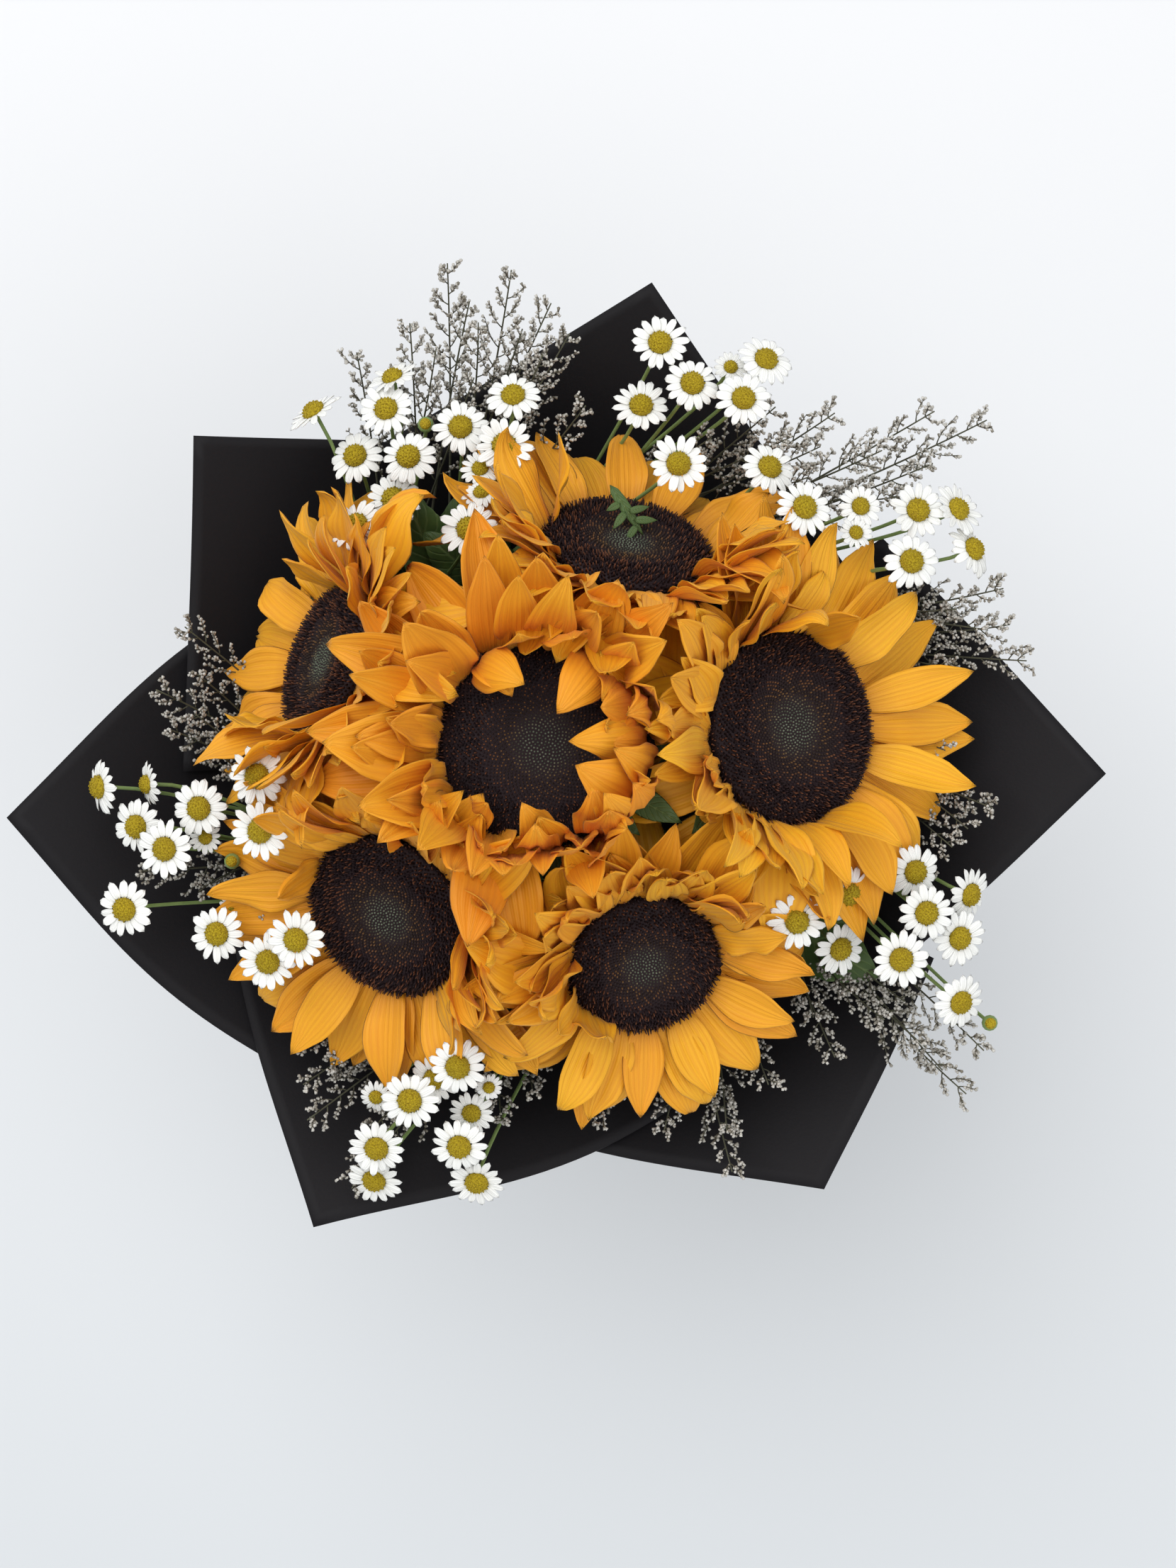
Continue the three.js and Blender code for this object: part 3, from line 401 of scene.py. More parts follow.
def through(points, count=80):
    """Points along a smooth centripetal curve through the given points."""
    ends = [2 * points[0] - points[1], *points, 2 * points[-1] - points[-2]]
    made = []
    for a, b, c, d in zip(ends, ends[1:], ends[2:], ends[3:]):
        steps = [max((q - p).length, 1e-4) ** 0.5 for p, q in ((a, b), (b, c), (c, d))]
        start = (b - a) / steps[0] - (c - a) / (steps[0] + steps[1]) + (c - b) / steps[1]
        end = (c - b) / steps[1] - (d - b) / (steps[1] + steps[2]) + (d - c) / steps[2]
        start, end = start * steps[1], end * steps[1]
        for i in range(count):
            t = i / count
            made.append(b + start * t + (3 * (c - b) - 2 * start - end) * t**2
                        + (2 * (b - c) + start + end) * t**3)
    return evenly([*made, points[-1]], count)


def bowed(start, bend, end, count=24):
    """Points along a curve from start to end that leans towards bend."""
    made = []
    for i in range(count + 1):
        t = i / count
        made.append((1 - t) ** 2 * start + 2 * t * (1 - t) * bend + t * t * end)
    return evenly(made, count)


def evenly(points, count):
    """The same line with count + 1 points at even distances."""
    line = np.array([tuple(point) for point in points])
    gone = np.concatenate([[0], np.cumsum(np.linalg.norm(np.diff(line, axis=0), axis=1))])
    at = np.linspace(0, gone[-1], count + 1)
    return [Vector(p) for p in np.stack([np.interp(at, gone, line[:, k]) for k in range(3)], 1)]


# ---------------------------------------------------------------- modelling


class Shape:
    """A shape that bmesh operators make once, to be placed any number of times. Its points
    carry how far along and across their petal, leaf or disc they lie, and a tint."""

    MEASURES = ("along", "across", "tint")

    def __init__(self, operator, **settings):
        mesh = bmesh.new()
        for name in self.MEASURES:
            mesh.verts.layers.float.new(name)
        operator(mesh, **settings)
        self.data = bpy.data.meshes.new("shape")
        mesh.to_mesh(self.data)
        mesh.free()
        self.points = np.array([point.co for point in self.data.vertices])
        self.data.polygons.foreach_set("use_smooth", [True] * len(self.data.polygons))

    def place(self, mesh, points, measures, material):
        """Adds the shape to a piece with its points in new places."""
        self.data.vertices.foreach_set("co", np.asarray(points, dtype=np.float32).ravel())
        for name, values in zip(self.MEASURES, measures):
            spread = np.full(len(points), values) if np.isscalar(values) else values
            self.data.attributes[name].data.foreach_set("value", np.asarray(spread, np.float32))
        self.data.polygons.foreach_set("material_index", [material] * len(self.data.polygons))
        mesh.from_mesh(self.data)


@functools.cache
def grid_shape(columns, rows):
    return Shape(bmesh.ops.create_grid, x_segments=columns, y_segments=rows, size=1)


@functools.cache
def ball_shape(columns, rows):
    return Shape(bmesh.ops.create_uvsphere, u_segments=columns, v_segments=rows, radius=1)


@functools.cache
def cone_shape(sides, taper):
    return Shape(bmesh.ops.create_cone, cap_ends=True, segments=sides, radius1=1, radius2=taper,
                 depth=1, matrix=Matrix.Translation((0, 0, 0.5)))


@functools.cache
def turned_shape(profile, segments):
    """Closed, from a profile of (radius, height) that runs from the axis to the axis, or
    round to its own start."""

    def turn(mesh):
        line = [mesh.verts.new((radius, 0, height)) for radius, height in profile]
        edges = [mesh.edges.new(pair) for pair in zip(line, line[1:])]
        bmesh.ops.spin(mesh, geom=line + edges, cent=(0, 0, 0), axis=(0, 0, 1), angle=TURN,
                       steps=segments, use_merge=True, use_duplicate=False)
        bmesh.ops.remove_doubles(mesh, verts=mesh.verts, dist=JOINED)

    return Shape(turn)


def blade_line(spec):
    """The middle line of a leaf or petal in its own upright plane, at even steps: the part
    of its length, its slope, and how far out and up it is."""
    line = np.linspace(0, 1, BLADE_STEPS + 1)
    bend = spec.get("tip", 0.0) * np.clip((line - TIP_PART) / (1 - TIP_PART), 0, 1) ** 2
    slope = spec["lift"] - spec["curl"] * line - bend
    middle = (slope[1:] + slope[:-1]) / 2
    out, up = (np.concatenate([[0], np.cumsum(turn(middle))]) * spec["length"] / BLADE_STEPS
               for turn in (np.cos, np.sin))
    return line, slope, out, up


class Modelling:
    """A piece put together from shapes."""

    def __init__(self):
        self.mesh = bmesh.new()

    def moved(self, shape, matrix, measures=(0.0, 0.0, 0.0), material=0, scale=(1, 1, 1)):
        turned = np.array(matrix)
        points = (shape.points * scale) @ turned[:3, :3].T + turned[:3, 3]
        shape.place(self.mesh, points, measures, material)

    def sheet(self, columns, rows, place):
        """An open sheet whose points place(across, along) puts."""
        shape = grid_shape(columns, rows)
        across, along = shape.points[:, 0], (shape.points[:, 1] + 1) / 2
        shape.place(self.mesh, place(across, along), (along, across, 0.0), 0)

    def closed(self, columns, rows, place, tint, material):
        """A closed body whose points place(around, along) puts, with its first and last
        rings drawn together. The place also says how far across each point lies."""
        shape = ball_shape(columns, rows)
        around = np.arctan2(shape.points[:, 1], shape.points[:, 0])
        along = np.arccos(np.clip(shape.points[:, 2], -1, 1)) / math.pi
        points, across = place(around, along)
        shape.place(self.mesh, points, (along, across, tint), material)

    def blade(self, spec, matrix, columns, rows, tint=0.0, material=0):
        """A closed leaf or petal that leaves the origin along +X, with +Z as its upper
        face. It bends by curl, then by tip near its end, and is cupped, twisted, waved
        along its edges and ribbed."""
        line, slope, out, up = blade_line(spec)
        turned = np.array(matrix)

        def place(around, along):
            across, side = np.cos(around), np.sin(around)
            ends = np.where((along < 1e-6) | (along > 1 - 1e-6), 0.0, 1.0)
            half = spec["width"] / 2 * spec["outline"](along) * ends
            thick = spec["thickness"] / 2 * side * ends
            twist = spec.get("twist", 0.0) * along
            cupped = spec.get("cup", 0.0) * half * across**2 * np.minimum(1, 3 * along)
            waved = spec.get("wave", 0.0) * across * abs(across) * np.sin(
                along * spec.get("waves", 7) + spec.get("phase", 0.0)) * np.sin(along * math.pi)
            ribbed = spec.get("rib", 0.0) * np.cos(across * spec.get("ribs", 3) * math.pi) * ends
            folded = spec.get("fold", 0.0) * half * abs(across) * np.sin(along * math.pi)
            raised = across * half * np.sin(twist) + cupped + waved + ribbed + folded + thick
            tilt = np.interp(along, line, slope)
            points = np.stack([
                np.interp(along, line, out) - raised * np.sin(tilt),
                -across * half * np.cos(twist),
                np.interp(along, line, up) + raised * np.cos(tilt),
            ], 1)
            return points @ turned[:3, :3].T + turned[:3, 3], across

        self.closed(columns, rows, place, tint, material)

    def tube(self, line, radii, sides, level=False):
        """A closed tube along a line, with its radius given from start to end. Its start is
        square or, as a cut stem's, level."""
        last = len(line) - 1
        points = np.array([tuple(p) for p in line])
        ahead = np.gradient(points, axis=0)
        ahead /= np.linalg.norm(ahead, axis=1)[:, None]
        across = np.cross(ahead[0], (0, 0, 1) if abs(ahead[0][2]) < 0.9 else (1, 0, 0))
        normals = []
        for heading in ahead:
            across = across - heading * np.dot(across, heading)
            across = across / np.linalg.norm(across)
            normals.append(across)
        normals = np.array(normals)
        others = np.cross(ahead, normals)
        widths = np.interp(np.linspace(0, 1, last + 1), np.linspace(0, 1, len(radii)), radii)

        def place(around, along):
            row = np.rint(along * (last + 2)).astype(int)
            ring = np.clip(row - 1, 0, last)
            width = np.where((row == 0) | (row == last + 2), 0.0, widths[ring])[:, None]
            angle = around[:, None]
            out = np.cos(angle) * normals[ring] + np.sin(angle) * others[ring]
            placed = points[ring] + out * width
            if level:
                above = np.where(row == 1, placed[:, 2] - points[0, 2], 0.0)
                placed = placed - above[:, None] * ahead[0] / ahead[0, 2]
            return placed, around

        self.closed(sides, last + 2, place, 0.0, 0)

    def spike(self, matrix, base, tip, height, sides, along, tint, material=0):
        """A small cone that stands on the matrix's origin. Across is 1 at its far end."""
        shape = cone_shape(sides, round(tip / base, 1))
        measures = (along, shape.points[:, 2], tint)
        self.moved(shape, matrix, measures, material, (base, base, height))

    def piece(self, name, finishes, slot, *replaced):
        bmesh.ops.scale(self.mesh, vec=(MM, MM, MM), verts=self.mesh.verts)
        bmesh.ops.recalc_face_normals(self.mesh, faces=self.mesh.faces)
        data = bpy.data.meshes.new(name)
        self.mesh.to_mesh(data)
        self.mesh.free()
        for finish in finishes:
            data.materials.append(finish)
        piece = bpy.data.objects.new(name, data)
        bpy.context.scene.collection.objects.link(piece)
        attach(piece, "root")
        if replaced:
            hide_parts(*replaced)
        return piece


# ---------------------------------------------------------------- materials


class Value:
    """A number that varies over a surface. Arithmetic on it adds the Math nodes."""

    def __init__(self, finish, socket):
        self.finish = finish
        self.socket = socket

    def math(self, operation, *others):
        return self.finish.math(operation, self, *others)

    def __add__(self, other):
        return self.math("ADD", other)

    __radd__ = __add__

    def __sub__(self, other):
        return self.math("SUBTRACT", other)

    def __rsub__(self, other):
        return self.finish.math("SUBTRACT", other, self)

    def __mul__(self, other):
        return self.math("MULTIPLY", other)

    __rmul__ = __mul__

    def __pow__(self, other):
        return self.math("POWER", other)

    def __abs__(self):
        return self.math("ABSOLUTE")

    def wave(self):
        return self.math("SINE") * 0.5 + 0.5

    def kept(self, low=0.0, high=1.0):
        return self.math("MAXIMUM", low).math("MINIMUM", high)


class Finish:
    """A material with one shader, and the nodes that vary it over the surface."""

    def __init__(self, name, **constants):
        self.material = bpy.data.materials.new(name)
        self.material.use_nodes = True
        self.tree = self.material.node_tree
        self.shader = self.tree.nodes["Principled BSDF"]
        for key, value in constants.items():
            self.shader.inputs[key.replace("_", " ")].default_value = value

    def node(self, kind, settings=(), inputs=(), output=0):
        node = self.tree.nodes.new(kind)
        for key, value in dict(settings).items():
            setattr(node, key, value)
        for key, value in dict(inputs).items():
            if isinstance(value, Value):
                self.tree.links.new(value.socket, node.inputs[key])
            else:
                node.inputs[key].default_value = value
        return Value(self, node.outputs[output])

    def math(self, operation, *values):
        return self.node("ShaderNodeMath", {"operation": operation}, enumerate(values))

    def measure(self, name):
        return self.node("ShaderNodeAttribute", {"attribute_name": name}, output="Fac")

    def place(self, scale=(1, 1, 1)):
        where = self.node("ShaderNodeTexCoord", output="Object")
        return self.node("ShaderNodeMapping", {}, {"Vector": where, "Scale": scale})

    def along_axis(self, axis):
        """The place of a point along one axis, in metres."""
        return self.node("ShaderNodeSeparateXYZ", {}, {"Vector": self.place()}, output=axis)

    def noise(self, per_metre, detail=2.0, scale=(1, 1, 1)):
        return self.node("ShaderNodeTexNoise", {}, {
            "Vector": self.place(scale), "Scale": per_metre, "Detail": detail})

    def cells(self, per_metre):
        return self.node("ShaderNodeTexVoronoi", {}, {
            "Vector": self.place(), "Scale": per_metre})

    def blend(self, factor, low, high):
        return self.node("ShaderNodeMix", {"data_type": "RGBA"}, {
            0: factor, 6: opaque(low), 7: opaque(high)}, output=2)

    def paint(self, factor, low, high):
        self.feed("Base Color", self.blend(factor, low, high))

    def feed(self, key, value):
        self.tree.links.new(value.socket, self.shader.inputs[key])

    def bump(self, height, distance, strength=1.0):
        self.feed("Normal", self.node("ShaderNodeBump", {}, {
            "Height": height, "Distance": distance, "Strength": strength}))


def opaque(colour):
    return colour if isinstance(colour, Value) else (*tuple(colour)[:3], 1.0)


def petal_finish(settings):
    finish = Finish("petal_yellow", Roughness=0.52, Sheen_Weight=0.06, Specular_IOR_Level=0.3)
    along, across, tint = (finish.measure(name) for name in Shape.MEASURES)
    mottled = finish.noise(90, 3.0)
    streaks = (across * 26 + mottled * 5).wave()
    colour = finish.blend(tint, settings.petal_colour, settings.petal_warm_colour)
    colour = finish.blend((streaks * 0.28 + mottled * 0.2 - 0.1).kept(), colour,
                          settings.petal_deep_colour)
    # Painted shade: the petals darken towards their roots, where they crowd round the disc.
    root = (1 - along * 3.2).kept() * 0.75
    finish.paint(root, colour, settings.petal_root_painted_shade_colour)
    grooves = (abs(across) * 17).wave() * 0.8 + (across * 61).wave() * 0.2
    finish.bump(grooves * (1 - along * 0.55) + mottled * 0.5, 0.0005, 0.8)
    return finish.material


def disc_finish(settings):
    finish = Finish("disc_florets", Roughness=0.7, Specular_IOR_Level=0.22)
    along, end, tint = (finish.measure(name) for name in Shape.MEASURES)
    speckled = ((tint - 0.55) * 4).kept() * end
    rim = ((along - 0.3) * 3.4).kept()
    inner = finish.blend(speckled * 0.8, settings.disc_middle_colour, settings.disc_gold_colour)
    outer = finish.blend(speckled * 0.6, settings.disc_colour, settings.disc_fleck_colour)
    colour = finish.blend(rim, inner, outer)
    eye = (1 - (along - 0.16) * 6).kept()
    green = finish.blend(tint * 0.7 * end, settings.disc_eye_colour, settings.disc_pale_colour)
    finish.paint(eye, colour, green)
    finish.bump(finish.noise(1800, 2.0), 0.0002, 0.6)
    return finish.material


def stem_finish(name, dark, light):
    finish = Finish(name, Roughness=0.55, Specular_IOR_Level=0.35)
    streaks = finish.noise(260, 3.0, (1, 1, 0.12))
    finish.paint(streaks, dark, light)
    finish.bump(streaks + finish.noise(1500, 1.0) * 0.4, 0.0004, 0.6)
    return finish.material


def leaf_finish(settings):
    finish = Finish("green_leaf", Roughness=0.5, Specular_IOR_Level=0.4)
    along, across = finish.measure("along"), finish.measure("across")
    side = abs(across)
    veins = ((along * 52 - side * 13).wave()) ** 10
    middle = (1 - side * 9).kept()
    mottled = finish.noise(160, 3.0)
    colour = finish.blend(mottled, settings.leaf_dark_colour, settings.leaf_colour)
    lines = (veins * 0.55 + middle).kept()
    finish.paint(lines * 0.6, colour, settings.leaf_vein_colour)
    finish.bump(mottled * 0.5 - lines * 0.7, 0.0006, 0.8)
    return finish.material


def ray_finish(settings):
    finish = Finish("ray_white", Roughness=0.5, Sheen_Weight=0.1, Specular_IOR_Level=0.3)
    along, across = finish.measure("along"), finish.measure("across")
    grooves = (abs(across) * 9).wave()
    # Painted shade: the rays darken near the dome and a little in their grooves.
    shade = ((1 - along * 4).kept() * 0.5 + grooves * 0.08).kept()
    finish.paint(shade, settings.ray_colour, settings.ray_painted_shade_colour)
    finish.bump(grooves, 0.00025, 0.7)
    return finish.material


def dome_finish(settings):
    finish = Finish("dome_yellow", Roughness=0.7, Specular_IOR_Level=0.2)
    cells = finish.cells(1500)
    tint = finish.measure("tint")
    # Painted shade between the florets, where the cells are far from their middles; the tint adds
    # each floret's own darker tone.
    colour = finish.blend((cells * 1.3).kept(), settings.dome_colour, settings.dome_painted_shade_and_tone_colour)
    finish.paint(tint * 0.3, colour, settings.dome_painted_shade_and_tone_colour)
    finish.bump(1 - cells, 0.0006, 0.9)
    return finish.material


def calyx_finish(settings):
    finish = Finish("lavender_calyx", Roughness=0.75, Specular_IOR_Level=0.2)
    tint, end = finish.measure("tint"), finish.measure("across")
    papery = finish.blend(tint ** 2, settings.calyx_colour, settings.calyx_shade_colour)
    finish.paint((end * 1.6 - 0.25).kept(), settings.calyx_root_colour, papery)
    finish.bump(finish.noise(2500, 1.0), 0.0002, 0.5)
    return finish.material


def twig_finish(settings):
    finish = Finish("lavender_twig", Roughness=0.8, Specular_IOR_Level=0.2)
    mottled = finish.noise(400, 2.0, (1, 1, 0.3))
    finish.paint(mottled, settings.twig_colour, settings.twig_dark_colour)
    finish.bump(mottled, 0.0002, 0.5)
    return finish.material


def paper_finish(settings):
    finish = Finish("black_paper", Specular_IOR_Level=0.2)
    fibres = finish.noise(900, 4.0)
    clouds = finish.noise(14, 3.0)
    mixed = clouds * 0.6 + fibres * 0.4
    finish.paint(mixed, settings.paper_colour, settings.paper_light_colour)
    finish.feed("Roughness", clouds * 0.16 + 0.56)
    finish.bump(fibres * 0.4 + clouds * 2.0, 0.0004, 0.5)
    return finish.material


def twine_finish(settings):
    finish = Finish("twine", Roughness=0.9, Specular_IOR_Level=0.15)
    along, around = finish.measure("along"), finish.measure("across")
    strands = (along * 1900 + around * math.pi * 2).wave()
    finish.paint(strands, settings.twine_dark_colour, settings.twine_colour)
    finish.bump(strands + finish.noise(3000, 2.0) * 0.6, 0.0003, 0.9)
    return finish.material


def ribbon_finish(settings):
    finish = Finish("black_ribbon", Roughness=0.35, Sheen_Weight=0.3, Specular_IOR_Level=0.5)
    weave = finish.noise(2600, 1.0, (1, 1, 5))
    finish.paint(weave, settings.paper_colour, settings.paper_light_colour)
    finish.bump(weave, 0.00015, 0.6)
    return finish.material


# ---------------------------------------------------------------- sunflowers


def head_matrix(head):
    """Puts the origin at the middle of the disc's underside and +Z along its axis."""
    facing = spun(math.radians(head["faces"]))
    return moved(*head["at"]) @ facing @ leant(math.radians(head["tilt"]))


def petal_outline(along):
    """Broad in the middle, drawn out to a point, and half as wide at the root."""
    body = np.sin(math.pi * (0.12 + 0.88 * along)) ** 0.66
    return body * (1 - 0.3 * np.clip((along - 0.7) / 0.3, 0, 1))


def petal_pose(head, turn, layer, draw):
    """Petals spread from the disc's edge and stand up where the head faces its
    neighbours. In the middle head those on the right and below curl in over the disc."""
    lift = layer["lift"] + between(draw, -4, 4)
    curl = between(draw, 6, 26)
    length = layer["length"] * between(draw, 0.92, 1.08)
    if head is MIDDLE:
        inward = math.cos(turn - math.radians(CRUMPLED_AZIMUTH))
        if inward > CRUMPLED_FROM:
            curl = -(curl + CURLED["curl"] * inward)
            return lift + CURLED["lift"], curl, CURLED["length"] * length
        lift += OPEN["lift"] + OPEN["turned_lift"] * inward
        return lift, OPEN["curl"] * curl, OPEN["length"] * length
    crowd = smoothstep(-math.cos(turn), *CROWDED_TURNS)
    stand = CROWDED_LIFT + head["tilt"] * math.cos(turn) - layer["lift"] / 3
    return lift + (stand - lift) * crowd, curl * (1 - 0.7 * crowd), length


def petal_spec(turn, root, lift, curl, length, width, looks, **others):
    """A petal with its own bent tip, waved edges, grooves and tint."""
    drawn = {key: between(looks, *span) for key, span in PETAL_LOOKS.items()}
    drawn["tip"] = math.radians(drawn["tip"])
    return dict(drawn, turn=turn, root=root, thickness=PETAL_THICKNESS, outline=petal_outline,
                length=length, width=width, lift=math.radians(lift), curl=math.radians(curl),
                **others)


def petal_specs(head, layers, seed, raised):
    """The petals of a head's layers."""
    draw = seeded(seed)
    looks = seeded(seed + SEEDS["looks"])
    specs = []
    for layer in layers:
        for i in range(layer["count"]):
            jitter = between(draw, -0.12, 0.12)
            turn = (i + layer["phase"] + jitter) * TURN / layer["count"]
            lift, curl, length = petal_pose(head, turn, layer, draw)
            lift += raised.get(len(specs), 0) * RAISED_PART
            width = between(draw, *PETAL_WIDTH) * layer["width"]
            twist = between(draw, *PETAL_LOOKS["twist"])
            cup = between(draw, *PETAL_LOOKS["cup"])
            length *= math.sqrt(head["disc"] / TYPICAL_DISC)
            most = CENTRE_YAW if head is MIDDLE else PETAL_YAW
            yaw = math.radians(between(looks, -1, 1) * most)
            spec = petal_spec(turn, layer["root"], lift, curl, length, width, looks, yaw=yaw)
            specs.append(dict(spec, twist=twist, cup=cup))
    return specs


def loose_specs(head, loose, seed):
    """Petals of no layer, on the side where the head is crowded."""
    looks = seeded(head["seed"] + seed)
    specs = []
    for i in range(loose["count"]):
        part = 2 * (i + between(looks, 0.2, 0.8)) / loose["count"] - 1
        turn = math.pi + math.radians(loose["spread"]) * part
        lift, curl, length, yaw = (between(looks, *loose[key])
                                   for key in ("lift", "curl", "length", "yaw"))
        lift += head["tilt"] * math.cos(turn) + head.get("lean", 0)
        width, cup = between(looks, *loose["width"]), between(looks, *LOOSE_CUP)
        twist = between(looks, *LOOSE_TWIST)
        spec = petal_spec(turn, loose["root"], lift, curl, length, width, looks,
                          yaw=math.radians(yaw))
        specs.append(dict(spec, cup=cup, twist=twist))
    return specs


def over_disc_specs():
    """The middle head's petals that lie over its disc."""
    looks = seeded(OVER_DISC_SEED)
    specs = []
    for root, heading, lift, curl, length, width in OVER_DISC:
        spec = petal_spec(math.radians(root), 0.5, lift, curl, length, width, looks,
                          yaw=math.radians(heading - root))
        specs.append(dict(spec, cup=0.25, tip=0.0, twist=0.1))
    return specs


def petal_matrix(head, spec):
    """Puts a petal's root at the disc's edge and its length along its own +X."""
    root = moved(head["disc"] + PETAL_ROOT, 0, spec["root"])
    return head_matrix(head) @ spun(spec["turn"]) @ root @ spun(spec["yaw"])


def meets_neighbour(head, spec):
    """Whether a petal runs into another head's disc, or hangs over one that lies open."""
    _, _, out, up = blade_line(spec)
    points = np.stack([out, 0 * out, up, 1 + 0 * out])
    for other in HEADS:
        if other is head:
            continue
        back = head_matrix(other).inverted()
        x, y, z, _ = np.array(back @ petal_matrix(head, spec)) @ points
        low, high = DISC_SLAB
        if np.any((np.hypot(x, y) < other["disc"] + DISC_MARGIN) & (z > low) & (z < high)):
            return True
        upright = back.to_3x3() @ Vector((0, 0, 1))
        fall = (z - DISC_FACE) / upright.z
        below = np.hypot(x - fall * upright.x, y - fall * upright.y)
        if other["name"] not in HALF_COVERED and np.any((below < other["disc"]) & (fall > 0)):
            return True
    return False


def kept_clear(head, specs):
    """The petals, raised where they would meet a neighbour's disc, or left out where no
    raising helps."""
    kept = []
    for spec in specs:
        for _ in range(CLEAR_TRIES):
            if not meets_neighbour(head, spec):
                kept.append(spec)
                break
            spec["lift"] += CLEAR_STEP
    return kept


def add_petals(settings):
    finish = petal_finish(settings)
    for head in HEADS:
        shape = Modelling()
        specs = petal_specs(head, PETAL_LAYERS, head["seed"], head["raised"])
        specs += petal_specs(head, MORE_LAYERS, head["seed"] + SEEDS["more"], {})
        specs += loose_specs(head, CRUMPLED if head is MIDDLE else LOOSE, SEEDS["loose"])
        specs += loose_specs(head, BROAD, SEEDS["broad"])
        if head is MIDDLE:
            specs += over_disc_specs()
        for spec in kept_clear(head, specs):
            tint = min(1, max(0, head["warmth"] + spec["tint"]))
            shape.blade(spec, petal_matrix(head, spec), 20, 14, tint)
        shape.piece(f"petals_{head['name']}", [finish], "petals", f"sunflower_{head['name']}_petals")


def floret(shape, head, matrix, number, count, draw):
    """One floret of the spiral: tight buds in the middle, then knobs, then open spikes."""
    part = math.sqrt((number + 0.5) / count)
    height = float(np.interp(part, *DISC_RINGS))
    tint = draw()
    is_open = part >= OPEN_PART
    base, tip, tall, lean, sides = (OPEN_FLORET if is_open else
                                    CLOSED_FLORET if part < CLOSED_PART else MIDDLE_FLORET)
    if is_open:
        tall, lean = between(draw, *tall), between(draw, *lean)
    if part > FRINGE_PART:
        lean += FRINGE_LEAN
    sideways = between(draw, -0.3, 0.3) * is_open
    root = spun(number * GOLDEN) @ moved(part * head["disc"], 0, height - FLORET_SUNK)
    tilt = leant(lean) @ Matrix.Rotation(sideways, 4, "X")
    shape.spike(matrix @ root @ tilt, base, tip, tall, sides, part, tint)


def add_discs(settings):
    finish = disc_finish(settings)
    for head in HEADS:
        shape = Modelling()
        matrix = head_matrix(head)
        rim = head["disc"] + PLATE_RIM
        dome = [(part * head["disc"], height) for part, height in zip(*DISC_RINGS)]
        profile = [(0, PLATE_UNDERSIDE), (rim - 1, PLATE_UNDERSIDE), (rim, PLATE_TOP),
                   (0.97 * head["disc"], 0), *dome[::-1]]
        shape.moved(turned_shape(tuple(profile), 40), matrix, (0.9, 0.0, 0.3))
        draw = seeded(head["seed"] + SEEDS["florets"])
        count = round(settings.florets * (head["disc"] / TYPICAL_DISC) ** 2)
        for number in range(count):
            floret(shape, head, matrix, number, count, draw)
        shape.piece(f"disc_{head['name']}", [finish], "disc", f"sunflower_{head['name']}_disc")


def stem_line(head):
    """The middle line of a sunflower's stem, on the spiral of the tied bunch."""
    matrix = head_matrix(head)
    neck = matrix @ Vector((0, 0, -CALYX_DEPTH - NECK_BELOW))
    top = matrix @ Vector((0, 0, -CALYX_DEPTH + STEM_INSIDE))
    if head is MIDDLE:
        return through([Vector((0, 0, FOOT_HEIGHT)), Vector((0, 0, INNER_TOP)), neck, top], 24)
    bend = neck.z - NECK_RISE
    lean = NECK_LEAN * NECK_RISE * math.tan(math.radians(head["tilt"]))
    reach = math.hypot(neck.x, neck.y) - lean
    slope = math.sqrt(reach**2 - INNER_RING**2) / (bend - WAIST_HEIGHT)
    line = spiral_line(INNER_RING, slope, math.atan2(neck.y, neck.x), bend)
    heights = (FOOT_HEIGHT, LOWER_STEM, WAIST_HEIGHT, INNER_TOP, bend)
    return through([*(line(height) for height in heights), neck, top], 28)


def spiral_line(ring, slope, azimuth, height):
    """Gives a stem's middle at any level, straight, touching its ring at the waist and
    passing over the azimuth at the height."""
    rise = height - WAIST_HEIGHT
    waist_azimuth = azimuth - math.atan2(slope * rise, ring)
    waist = polar(ring, waist_azimuth, WAIST_HEIGHT)
    heading = polar(slope, waist_azimuth + math.pi / 2, 1)
    return lambda level: waist + heading * (level - WAIST_HEIGHT)


def leaf_outline(along):
    """An oval that ends in a point, with a toothed edge."""
    body = np.sin(math.pi * (0.06 + 0.94 * along)) ** 0.8
    return body * (1 - 0.07 * ((along * 15) % 1))


def leaf_spec(length, width, lift, curl, twist=0.2):
    return dict(length=length, width=width, lift=lift, curl=curl, twist=twist, cup=0.18,
                thickness=0.6, wave=2.4, waves=11, phase=1.0, rib=0.3, ribs=1.0,
                tip=0.3, outline=leaf_outline)


def bract_outline(along):
    """A narrow oval that ends in a point."""
    return np.sin(math.pi * (0.2 + 0.8 * along)) ** 1.1


def model_calyx(shape, head, matrix, draw):
    """The green cup under a head, with its rings of bracts."""
    rim = head["disc"] + 1
    foot = -CALYX_DEPTH - 3
    cup = [(part * rim, height) for part, height in CALYX_PROFILE]
    shape.moved(turned_shape(((0, foot), (STEM_RADIUS + 0.5, foot), *cup), 32), matrix)
    for ring, (count, height, size, root) in enumerate(BRACT_RINGS):
        for i in range(count):
            turn = (i + ring / 2 + between(draw, -0.1, 0.1)) * TURN / count
            spec = dict(length=BRACT["length"] * size, width=BRACT["width"] * size,
                        lift=math.radians(between(draw, -14, 14)), curl=math.radians(-24),
                        twist=between(draw, -0.2, 0.2), cup=0.15, thickness=0.7,
                        tip=math.radians(between(draw, 10, 60)), outline=bract_outline)
            turned = matrix @ spun(turn) @ moved(rim * root - BRACT_SUNK, 0, height)
            shape.blade(spec, turned, 12, 7, draw(), 1)


